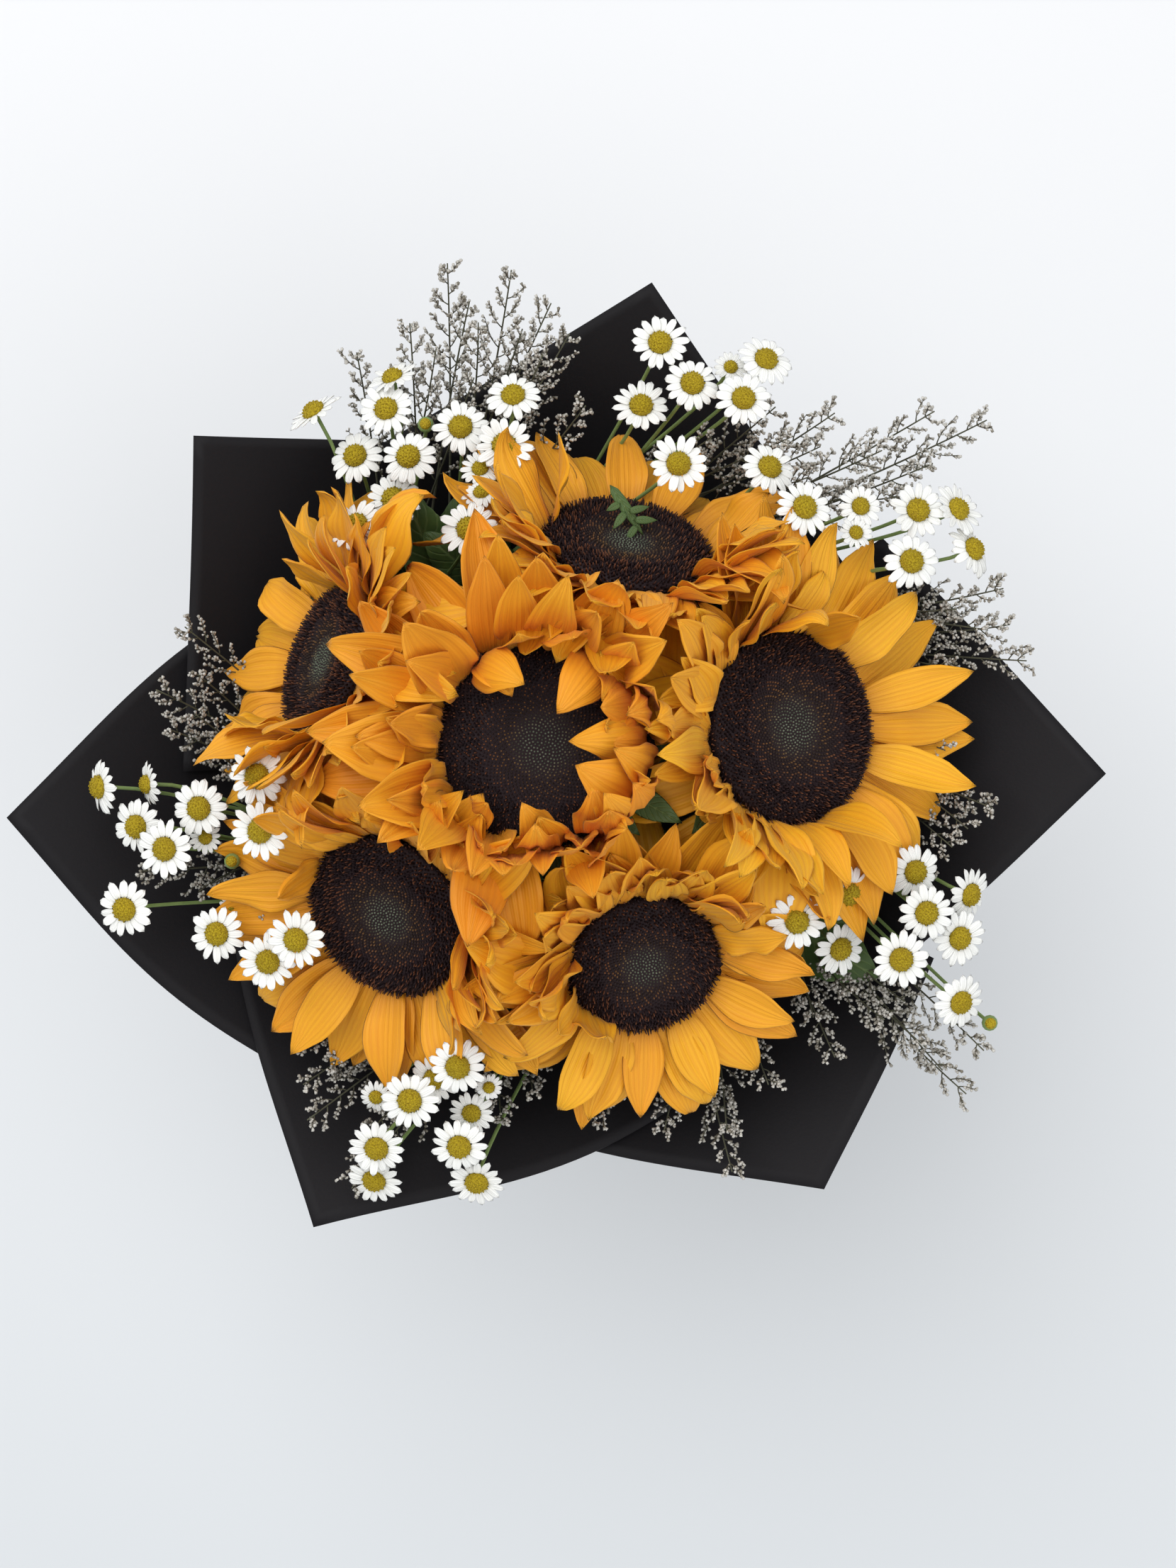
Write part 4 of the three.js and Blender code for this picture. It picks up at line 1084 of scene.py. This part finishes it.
def add_stems(settings):
    finishes = [stem_finish("green_stem", settings.stem_dark_colour, settings.stem_colour),
                leaf_finish(settings)]
    for head in HEADS:
        shape = Modelling()
        line = stem_line(head)
        draw = seeded(head["seed"] + SEEDS["bracts"])
        shape.tube(line, [STEM_RADIUS * part for part in STEM_TAPER], 12, level=True)
        model_calyx(shape, head, head_matrix(head), draw)
        if head is not MIDDLE:
            root = next(point for point in line if point.z > LEAF_HEIGHT)
            azimuth = math.atan2(root.y, root.x) + math.radians(LEAF_TURN)
            matrix = moved(*root) @ spun(azimuth)
            shape.blade(leaf_spec(**LEAF), matrix, 24, 30, 0, 1)
        shape.piece(f"stem_{head['name']}", finishes, "stem", f"sunflower_{head['name']}_stem")
    shape = Modelling()
    for root, azimuth, lift, length, width in GAP_LEAVES:
        matrix = moved(*root) @ spun(math.radians(azimuth))
        spec = leaf_spec(length, width, math.radians(lift), math.radians(lift - 8), 0.3)
        shape.blade(spec, matrix, 24, 30, 0, 1)
        root = Vector(root)
        inner = Vector((root.x * GAP_STALK["part"], root.y * GAP_STALK["part"],
                        root.z - GAP_STALK["drop"]))
        bend = root - Vector((0, 0, GAP_STALK["bend"]))
        shape.tube(bowed(inner, bend, root, 6), GAP_STALK["radii"], 6)
    for start, end, width in LOBES:
        ahead = Vector(end) - Vector(start)
        matrix = moved(*start) @ ahead.to_track_quat("X", "Z").to_matrix().to_4x4()
        spec = dict(length=ahead.length, width=width, lift=0.15, curl=0.3, cup=0.1, thickness=0.5,
                    outline=bract_outline)
        shape.blade(spec, matrix, 10, 8, 0, 1)
    shape.piece("leaves", finishes, "stem")


# ---------------------------------------------------------------- thin stems


def azimuth_of(points):
    return math.atan2(sum(p[1] for p in points), sum(p[0] for p in points))


def ring_places():
    """The thin stems share the ring evenly, in the order of the sprays they carry. Gives
    each spray's place on the ring and the azimuth of its fork."""
    sprays = [(azimuth_of(spray.get("flowers") or spray["tips"]), spray["name"])
              for spray in [*CHAMOMILE, *LAVENDER]]
    order = sorted(sprays)
    step = TURN / len(order)
    shift = sum(wrapped(azimuth - i * step) for i, (azimuth, _) in enumerate(order)) / len(order)
    places = {}
    for i, (azimuth, name) in enumerate(order):
        share = i * step + shift
        places[name] = (share, azimuth + wrapped(share - azimuth) / 2)
    return places


def main_line(spray, places, fork):
    """The middle line of a spray's stem, up to its fork's radius and height."""
    share, fork_azimuth = places[spray["name"]]
    line = spiral_line(OUTER_RING, OUTER_SLOPE, share, OUTER_TOP)
    heights = (FOOT_HEIGHT, LOWER_STEM, WAIST_HEIGHT, OUTER_TOP)
    return through([*(line(height) for height in heights), polar(fork[0], fork_azimuth, fork[1])], 40)


def branch_start(line, number, count):
    """Where a branch leaves the stem, each a little further up than the one before."""
    part = BRANCH_START + (1 - BRANCH_START) * (number + 0.5) / count
    return line[round(part * (len(line) - 1))].copy()


# ---------------------------------------------------------------- chamomile


def ray_outline(along):
    """An oval ray with a blunt end."""
    return np.sin(math.pi * np.clip(0.1 + 0.88 * along, 0, 1)) ** 0.45 * (1 - 0.1 * (1 - along))


def flower_matrix(x, y, z, tilt):
    """Tilts a flower outwards, away from the middle of the bunch."""
    return moved(x, y, z) @ spun(math.atan2(y, x)) @ leant(math.radians(tilt))


def model_flower(shape, matrix, size, draw):
    """Green cup, domed middle of packed florets, and oval rays round it."""
    sized = matrix @ Matrix.Scale(size, 4)
    shape.moved(ball_shape(12, 6), sized @ moved(0, 0, -0.6), scale=CUP_SIZE)
    shape.moved(turned_shape(DOME_PROFILE, 16), sized, (0.0, 0.0, draw()), 2)
    for number in range(DOME_FLORETS):
        part = math.sqrt((number + 0.5) / DOME_FLORETS)
        height = float(np.interp(part, *DOME_RINGS))
        place = spun(number * GOLDEN) @ moved(part * DOME_RADIUS * 0.97, 0, height - 0.25)
        shape.spike(sized @ place @ leant(part * 0.9), *DOME_FLORET, 5, 0.0, draw(), 2)
    spin = between(draw, 0, TURN)
    droop = between(draw, -8, 24)
    for i in range(RAYS):
        turn = spin + (i + between(draw, -0.14, 0.14)) * TURN / RAYS
        spec = dict(RAY, lift=math.radians(between(draw, -4, 12) - droop * 0.3),
                    curl=math.radians(between(draw, -4, 14) + droop),
                    twist=between(draw, -0.35, 0.35), cup=between(draw, -0.1, 0.1), tip=0.2,
                    rib=0.12, ribs=2, outline=ray_outline)
        spec["length"] *= between(draw, 0.86, 1.08)
        spec["width"] *= between(draw, 0.82, 1.05)
        root = moved(DOME_RADIUS - 0.7, 0, 0.25 + 0.15 * (i % 2))
        shape.blade(spec, sized @ spun(turn) @ root, 10, 6, draw(), 1)


def model_bud(shape, matrix, draw):
    """A green ball with a smaller yellow one out of its top."""
    ball = ball_shape(12, 8)
    shape.moved(ball, matrix, scale=BUD_SIZE)
    shape.moved(ball, matrix @ moved(0, 0, 1.5), (0.0, 0.0, draw()), 2, BUD_TOP_SIZE)


def model_fronds(shape, line, draw):
    """Finely divided leaves along the upper stem."""
    for number in range(FRONDS["count"]):
        root = line[round((FRONDS["first"] + FRONDS["step"] * number) * (len(line) - 1))]
        azimuth = math.atan2(root.y, root.x) + between(draw, -1.3, 1.3)
        out = polar(1, azimuth)
        side = polar(1, azimuth + math.pi / 2)
        length = between(draw, *FRONDS["length"])
        tip = root + out * length * 0.8 + Vector((0, 0, length * 0.55))
        rib = bowed(root, root + out * length * 0.5, tip, 10)
        shape.tube(rib, [0.6, 0.35], 4)
        for i in range(2, 10):
            reach = length * 0.32 * math.sin(math.pi * i / 11)
            for sign in (-1, 1):
                bend = rib[i] + side * sign * reach * 0.5
                end = rib[i] + side * sign * reach + out * reach * 0.5
                shape.tube(bowed(rib[i], bend, end, 3), [0.35, 0.3], 3)


def add_chamomile(settings):
    finishes = [stem_finish("chamomile_green", settings.stem_colour, settings.frond_colour),
                ray_finish(settings), dome_finish(settings)]
    places = ring_places()
    for number, spray in enumerate(CHAMOMILE):
        draw = seeded(CHAMOMILE_SEED + number)
        shape = Modelling()
        line = main_line(spray, places, CHAMOMILE_FORK)
        shape.tube(line, [THIN_STEM, THIN_STEM * 0.8], 7, level=True)
        carried = [(*place, 1.0) for place in spray["flowers"]]
        carried += [(*place, 0, 0.0) for place in spray.get("buds", [])]
        planned = len(carried)
        carried += spray.get("more", [])
        for i, (x, y, z, tilt, size) in enumerate(carried):
            start = branch_start(line, min(i, planned - 1), planned)
            matrix = flower_matrix(x, y, z, tilt)
            end = matrix @ Vector((0, 0, -1))
            heading = (matrix.to_3x3() @ Vector((0, 0, 1))).normalized() * ARRIVAL
            shape.tube(bowed(start, end - heading, end, 14), [THIN_BRANCH * 1.1, THIN_BRANCH], 6)
            if size:
                model_flower(shape, matrix, size, draw)
            else:
                model_bud(shape, matrix, draw)
        model_fronds(shape, line, draw)
        shape.piece(spray["name"] + "_spray", finishes, "chamomile", spray["name"])


# ---------------------------------------------------------------- sea lavender


def model_sprig(shape, start, tip, draw, sway, rise):
    """A branch that ends in twigs set with papery calyces."""
    out = Vector((start.x, start.y, 0)).normalized()
    side = Vector((-out.y, out.x, 0))
    bend = start.lerp(tip, 0.65) + side * sway
    bend.z = start.z + rise
    line = bowed(start, bend, tip, 36)
    shape.tube(line[::2], SPRIG_RADII, 5)
    length = sum((b - a).length for a, b in zip(line, line[1:]))
    covered = min(0.62, TWIGGED / length)
    for number in range(TWIGS):
        part = 1 - covered * (1 - number / (TWIGS - 1))
        index = min(len(line) - 2, int(part * (len(line) - 1)))
        root = line[index]
        ahead = (line[index + 1] - root).normalized()
        spread = between(draw, 0.5, 1.0) * (1 if number % 2 else -1)
        upwards = Vector((0, 0, between(draw, -0.2, 0.7)))
        swing = ahead.cross(Vector((0, 0, 1))).normalized() * spread + upwards
        reach = between(draw, *TWIG_LENGTH) * (1.15 - 0.7 * number / TWIGS)
        end = root + (ahead * 0.9 + swing * 0.75).normalized() * reach
        twig = bowed(root, root + (ahead * 0.3 + swing * 0.7) * reach * 0.5, end, CALYX_STEPS)
        shape.tube(twig, TWIG_RADII, 3)
        for step in range(2, CALYX_STEPS + 1):
            for _ in range(2):
                lean = (end - root).normalized() * 0.9 + Vector(
                    (between(draw, -1, 1), between(draw, -1, 1), between(draw, -0.5, 1)))
                turned = lean.to_track_quat("Z", "Y").to_matrix().to_4x4()
                size = between(draw, 0.7, 1.2)
                measures = (part * size for part in CALYX)
                shape.spike(moved(*twig[step]) @ turned, *measures, 4, 0.0, draw(), 1)


def add_lavender(settings):
    finishes = [twig_finish(settings), calyx_finish(settings)]
    places = ring_places()
    for number, spray in enumerate(LAVENDER):
        draw = seeded(LAVENDER_SEED + number)
        bends = [(between(draw, -8, 8), between(draw, 18, 28)) for _ in spray["tips"]]
        looks = seeded(LAVENDER_SEED + number + SEEDS["sprigs"])
        bends += [(between(looks, -12, 12), between(looks, 14, 30)) for _ in spray["more"]]
        shape = Modelling()
        line = main_line(spray, places, LAVENDER_FORK)
        shape.tube(line, [THIN_STEM, THIN_STEM * 0.75], 7, level=True)
        count = len(spray["tips"])
        for i, tip in enumerate([*spray["tips"], *spray["more"]]):
            start = branch_start(line, min(i, count - 1), count)
            model_sprig(shape, start, Vector(tip), looks, *bends[i])
        shape.piece(spray["name"] + "_spray", finishes, "lavender", spray["name"])


# ---------------------------------------------------------------- wrapping


def funnel_height(radius):
    """The height of the paper funnel at a radius, with its profile's corners eased."""
    return sum(np.interp(radius + ease, *FUNNEL) for ease in (-8, -4, 0, 4, 8)) / 5


def edge_radius(tip, shoulder, azimuth):
    """The radius at which a straight edge from tip to shoulder crosses an azimuth."""
    dx, dy = shoulder[0] - tip[0], shoulder[1] - tip[1]
    return (tip[0] * dy - tip[1] * dx) / (np.cos(azimuth) * dy - np.sin(azimuth) * dx)


def add_sheet(sheet, finish, settings):
    """A sheet that is gathered at the neck, opens above it and ends in its corner."""
    layer = PAPER_LAYERS[sheet["layer"]]
    middle = math.atan2(sheet["tip"][1], sheet["tip"][0])
    spans = [wrapped(math.atan2(end[1], end[0]) - middle) for end in sheet["ends"]]
    phase = sheet["tip"][0] * 0.1
    shape = Modelling()

    def place(across, along):
        across = -across
        azimuth = middle + abs(across) * np.where(across < 0, spans[0], spans[1])
        reach = np.where(across < 0, edge_radius(sheet["tip"], sheet["ends"][0], azimuth),
                         edge_radius(sheet["tip"], sheet["ends"][1], azimuth))
        reach = reach + np.where(across < 0, *sheet["bows"]) * np.sin(math.pi * abs(across))
        neck = np.interp(along, [0, NECK_PART], NECK_HEIGHTS)
        open_part = np.clip((along - NECK_PART) / (1 - NECK_PART), 0, 1) ** OPENING
        radius = layer["neck"] + (reach - layer["neck"]) * open_part
        height = np.where(along < NECK_PART, neck,
                          funnel_height(radius) - layer["drop"] - layer["sag"] * radius)
        far = (radius - PLEATS["radius"]) / PLEATS["spread"]
        near_neck = np.exp(-far ** 2) * np.clip(along * 5, 0, 1)
        pleats = np.sin(azimuth * PLEATS["count"] + phase) * PLEATS["depth"] * near_neck
        swayed = np.sin(azimuth * SWAY["count"] + phase) * SWAY["height"]
        sway = swayed * open_part * (1 - abs(across) ** 4)
        pleated = radius * (1 + pleats / np.maximum(radius, 20))
        return np.stack([pleated * np.cos(azimuth), pleated * np.sin(azimuth), height + sway], 1)

    shape.sheet(48, 44, place)
    piece = shape.piece(f"sheet_{sheet['name']}", [finish], "paper", f"paper_{sheet['name']}")
    wall = piece.modifiers.new("wall", "SOLIDIFY")
    wall.thickness = settings.paper_thickness
    wall.offset = 0


def add_paper(settings):
    finish = paper_finish(settings)
    for sheet in SHEETS:
        add_sheet(sheet, finish, settings)


def add_bindings(settings):
    shape = Modelling()
    steps = 30  # in each turn
    last = steps * TWINE["turns"]
    coil = [polar(TWINE["radius"] + 0.1 * math.sin(i), i / steps * TURN,
                  TWINE["low"] + TWINE["rise"] * i / last) for i in range(last + 1)]
    shape.tube(coil, [TWINE["thickness"], TWINE["thickness"]], 6)
    shape.piece("twine_wound", [twine_finish(settings)], "twine", "twine_binding")
    shape = Modelling()
    shape.moved(turned_shape(RIBBON_PROFILE, 64), Matrix.Identity(4))
    shape.piece("ribbon_tied", [ribbon_finish(settings)], "ribbon", "ribbon_band")


# ---------------------------------------------------------------- stage


def add_stage(settings):
    scene = bpy.context.scene
    floor_shape = bmesh.new()
    bmesh.ops.create_grid(floor_shape, x_segments=1, y_segments=1, size=FLOOR_REACH)
    data = bpy.data.meshes.new("floor")
    floor_shape.to_mesh(data)
    floor_shape.free()
    floor = bpy.data.objects.new("floor", data)
    scene.collection.objects.link(floor)
    finish = Finish("floor_pale", Roughness=0.9, Specular_IOR_Level=0.1)
    # Painted shade: the floor darkens towards the bottom of the picture, standing in for the light
    # falling off.
    slope, middle = FLOOR_PAINTED_SHADE
    shade = (finish.along_axis(1) * slope + middle).kept()
    finish.paint(shade, settings.floor_colour, settings.floor_painted_shade_colour)
    data.materials.append(finish.material)
    world = bpy.data.worlds.new("soft_room")
    world.use_nodes = True
    background = world.node_tree.nodes["Background"]
    background.inputs["Color"].default_value = (*settings.room_colour, 1)
    background.inputs["Strength"].default_value = settings.room_strength
    scene.world = world
    for name, place, power in (
        ("key", KEY_PLACE, settings.key_power), ("fill", FILL_PLACE, settings.fill_power),
    ):
        lamp = bpy.data.lights.new(name, "AREA")
        lamp.size = LAMP_SIZE
        lamp.energy = power
        light = bpy.data.objects.new(name, lamp)
        light.location = place
        light.rotation_mode = "QUATERNION"
        light.rotation_quaternion = (Vector(LIT_POINT) - light.location).to_track_quat("-Z", "Y")
        scene.collection.objects.link(light)
    camera = bpy.data.objects.new("camera", bpy.data.cameras.new("camera"))
    camera.data.sensor_width = SENSOR
    camera.data.lens = CAMERA_LENS
    camera.location = Vector(CAMERA_PLACE) * MM
    scene.collection.objects.link(camera)
    scene.camera = camera
    scene.view_settings.view_transform = "Standard"


# ---------------------------------------------------------------- add-on


def colour_of(name, description, default):
    return FloatVectorProperty(name=name, description=description, subtype="COLOR",
                               size=3, min=0, max=1, default=default)


class BunchSettings(bpy.types.PropertyGroup):
    """What a user would change: counts, thicknesses, colours and lights."""

    florets: IntProperty(
        name="Florets", description="Florets on a disc of middling size", default=2400, min=200)
    paper_thickness: FloatProperty(
        name="Paper thickness", description="Thickness of the wrapping paper",
        default=0.0006, unit="LENGTH", subtype="DISTANCE")
    room_strength: FloatProperty(
        name="Room light", description="Strength of the light from all round", default=0.65)
    key_power: FloatProperty(
        name="Key light", description="Power of the lamp over the upper left",
        default=31.0, unit="POWER")
    fill_power: FloatProperty(
        name="Fill light", description="Power of the lamp over the lower right",
        default=11.0, unit="POWER")
    room_colour: colour_of("Room", "Colour of the light from all round", (0.96, 0.98, 1.0))
    floor_colour: colour_of("Floor", "Colour of the floor", (0.825, 0.828, 0.838))
    # Painted shade on the floor, towards the bottom of the picture.
    floor_painted_shade_colour: colour_of("Floor shade", "Its shade", (0.69, 0.713, 0.732))
    petal_colour: colour_of("Petal", "Bright petals", (0.84, 0.42, 0.014))
    petal_warm_colour: colour_of("Warm petal", "Orange petals", (0.8, 0.29, 0.013))
    petal_deep_colour: colour_of("Petal veins", "Streaks in the petals", (0.62, 0.205, 0.011))
    # Painted shade on the petals near the disc.
    petal_root_painted_shade_colour: colour_of("Petal root", "Petals near the disc", (0.52, 0.17, 0.012))
    disc_colour: colour_of("Disc", "Open florets", (0.018, 0.009, 0.011))
    disc_fleck_colour: colour_of("Disc flecks", "Flecks among them", (0.24, 0.085, 0.033))
    disc_middle_colour: colour_of("Disc middle", "Closed florets", (0.03, 0.02, 0.014))
    disc_gold_colour: colour_of("Disc gold", "Golden specks", (0.17, 0.1, 0.035))
    disc_eye_colour: colour_of("Disc eye", "Youngest florets", (0.05, 0.062, 0.042))
    disc_pale_colour: colour_of("Disc eye tips", "Their tips", (0.2, 0.235, 0.17))
    stem_colour: colour_of("Stem", "Stems", (0.13, 0.2, 0.06))
    stem_dark_colour: colour_of("Stem shade", "Streaks in the stems", (0.06, 0.11, 0.03))
    frond_colour: colour_of("Chamomile green", "Chamomile stems and leaves", (0.26, 0.36, 0.12))
    leaf_colour: colour_of("Leaf", "Leaves", (0.1, 0.17, 0.045))
    leaf_dark_colour: colour_of("Leaf shade", "Dark parts of the leaves", (0.045, 0.09, 0.024))
    leaf_vein_colour: colour_of("Leaf veins", "Veins of the leaves", (0.22, 0.3, 0.11))
    ray_colour: colour_of("Chamomile ray", "White rays", (0.9, 0.9, 0.87))
    # Painted shade on the rays near the dome and in their grooves.
    ray_painted_shade_colour: colour_of("Ray shade", "Rays near the dome", (0.66, 0.68, 0.6))
    dome_colour: colour_of("Chamomile dome", "Yellow domes", (0.62, 0.47, 0.02))
    # Painted shade between the dome's florets, and their own darker tone.
    dome_painted_shade_and_tone_colour: colour_of("Dome shade", "Between their florets", (0.32, 0.22, 0.01))
    calyx_colour: colour_of("Calyx", "Papery calyces", (0.64, 0.62, 0.57))
    calyx_shade_colour: colour_of("Calyx shade", "Older calyces", (0.2, 0.18, 0.14))
    calyx_root_colour: colour_of("Calyx root", "Where a calyx leaves its twig", (0.1, 0.08, 0.055))
    twig_colour: colour_of("Twig", "Lavender twigs", (0.13, 0.14, 0.09))
    twig_dark_colour: colour_of("Twig shade", "Dark parts", (0.07, 0.06, 0.045))
    paper_colour: colour_of("Paper", "Wrapping paper", (0.0072, 0.0064, 0.0076))
    paper_light_colour: colour_of("Paper fibres", "Its lighter fibres", (0.0115, 0.0102, 0.012))
    twine_colour: colour_of("Twine", "Twine", (0.45, 0.33, 0.18))
    twine_dark_colour: colour_of("Twine shade", "Between its strands", (0.2, 0.13, 0.06))


class BUNCH_OT_stage(bpy.types.Operator):
    """Adds the floor, the lights and the camera over the bunch."""

    bl_idname = "bunch.stage"
    bl_label = "Stage"

    def execute(self, context):
        add_stage(context.scene.bunch)
        return {"FINISHED"}


class BUNCH_OT_petals(bpy.types.Operator):
    """Models the petals of the six sunflowers."""

    bl_idname = "bunch.petals"
    bl_label = "Sunflower petals"

    def execute(self, context):
        add_petals(context.scene.bunch)
        return {"FINISHED"}


class BUNCH_OT_discs(bpy.types.Operator):
    """Models the discs with their spirals of florets."""

    bl_idname = "bunch.discs"
    bl_label = "Sunflower discs"

    def execute(self, context):
        add_discs(context.scene.bunch)
        return {"FINISHED"}


class BUNCH_OT_stems(bpy.types.Operator):
    """Models the sunflower stems with their bracts and leaves."""

    bl_idname = "bunch.stems"
    bl_label = "Stems and leaves"

    def execute(self, context):
        add_stems(context.scene.bunch)
        return {"FINISHED"}


class BUNCH_OT_chamomile(bpy.types.Operator):
    """Models the sprays of chamomile."""

    bl_idname = "bunch.chamomile"
    bl_label = "Chamomile"

    def execute(self, context):
        add_chamomile(context.scene.bunch)
        return {"FINISHED"}


class BUNCH_OT_lavender(bpy.types.Operator):
    """Models the sprays of sea lavender."""

    bl_idname = "bunch.lavender"
    bl_label = "Sea lavender"

    def execute(self, context):
        add_lavender(context.scene.bunch)
        return {"FINISHED"}


class BUNCH_OT_paper(bpy.types.Operator):
    """Models the six sheets of wrapping paper."""

    bl_idname = "bunch.paper"
    bl_label = "Paper"

    def execute(self, context):
        add_paper(context.scene.bunch)
        return {"FINISHED"}


class BUNCH_OT_bindings(bpy.types.Operator):
    """Models the twine round the stems and the ribbon round the paper."""

    bl_idname = "bunch.bindings"
    bl_label = "Twine and ribbon"

    def execute(self, context):
        add_bindings(context.scene.bunch)
        return {"FINISHED"}


OPERATORS = (
    BUNCH_OT_stage, BUNCH_OT_petals, BUNCH_OT_discs, BUNCH_OT_stems, BUNCH_OT_chamomile,
    BUNCH_OT_lavender, BUNCH_OT_paper, BUNCH_OT_bindings,
)


class BUNCH_PT_panel(bpy.types.Panel):
    """The steps of the bunch, in order."""

    bl_label = "Bunch"
    bl_idname = "BUNCH_PT_panel"
    bl_space_type = "VIEW_3D"
    bl_region_type = "UI"
    bl_category = "Bunch"

    def draw(self, context):
        for operator in OPERATORS:
            self.layout.operator(operator.bl_idname)


def register():
    for cls in (BunchSettings, *OPERATORS, BUNCH_PT_panel):
        bpy.utils.register_class(cls)
    bpy.types.Scene.bunch = PointerProperty(type=BunchSettings)


def unregister():
    del bpy.types.Scene.bunch
    for cls in (BUNCH_PT_panel, *reversed(OPERATORS), BunchSettings):
        bpy.utils.unregister_class(cls)


def tidy_up():
    """Removes the shapes that the pieces were put together from."""
    for cache in (grid_shape, ball_shape, cone_shape, turned_shape):
        cache.cache_clear()
    for data in [data for data in bpy.data.meshes if data.users == 0]:
        bpy.data.meshes.remove(data)


def main():
    register()
    bpy.ops.bunch.stage()
    bpy.ops.bunch.petals()
    bpy.ops.bunch.discs()
    bpy.ops.bunch.stems()
    bpy.ops.bunch.chamomile()
    bpy.ops.bunch.lavender()
    bpy.ops.bunch.paper()
    bpy.ops.bunch.bindings()
    tidy_up()


if __name__ == "__main__":
    main()
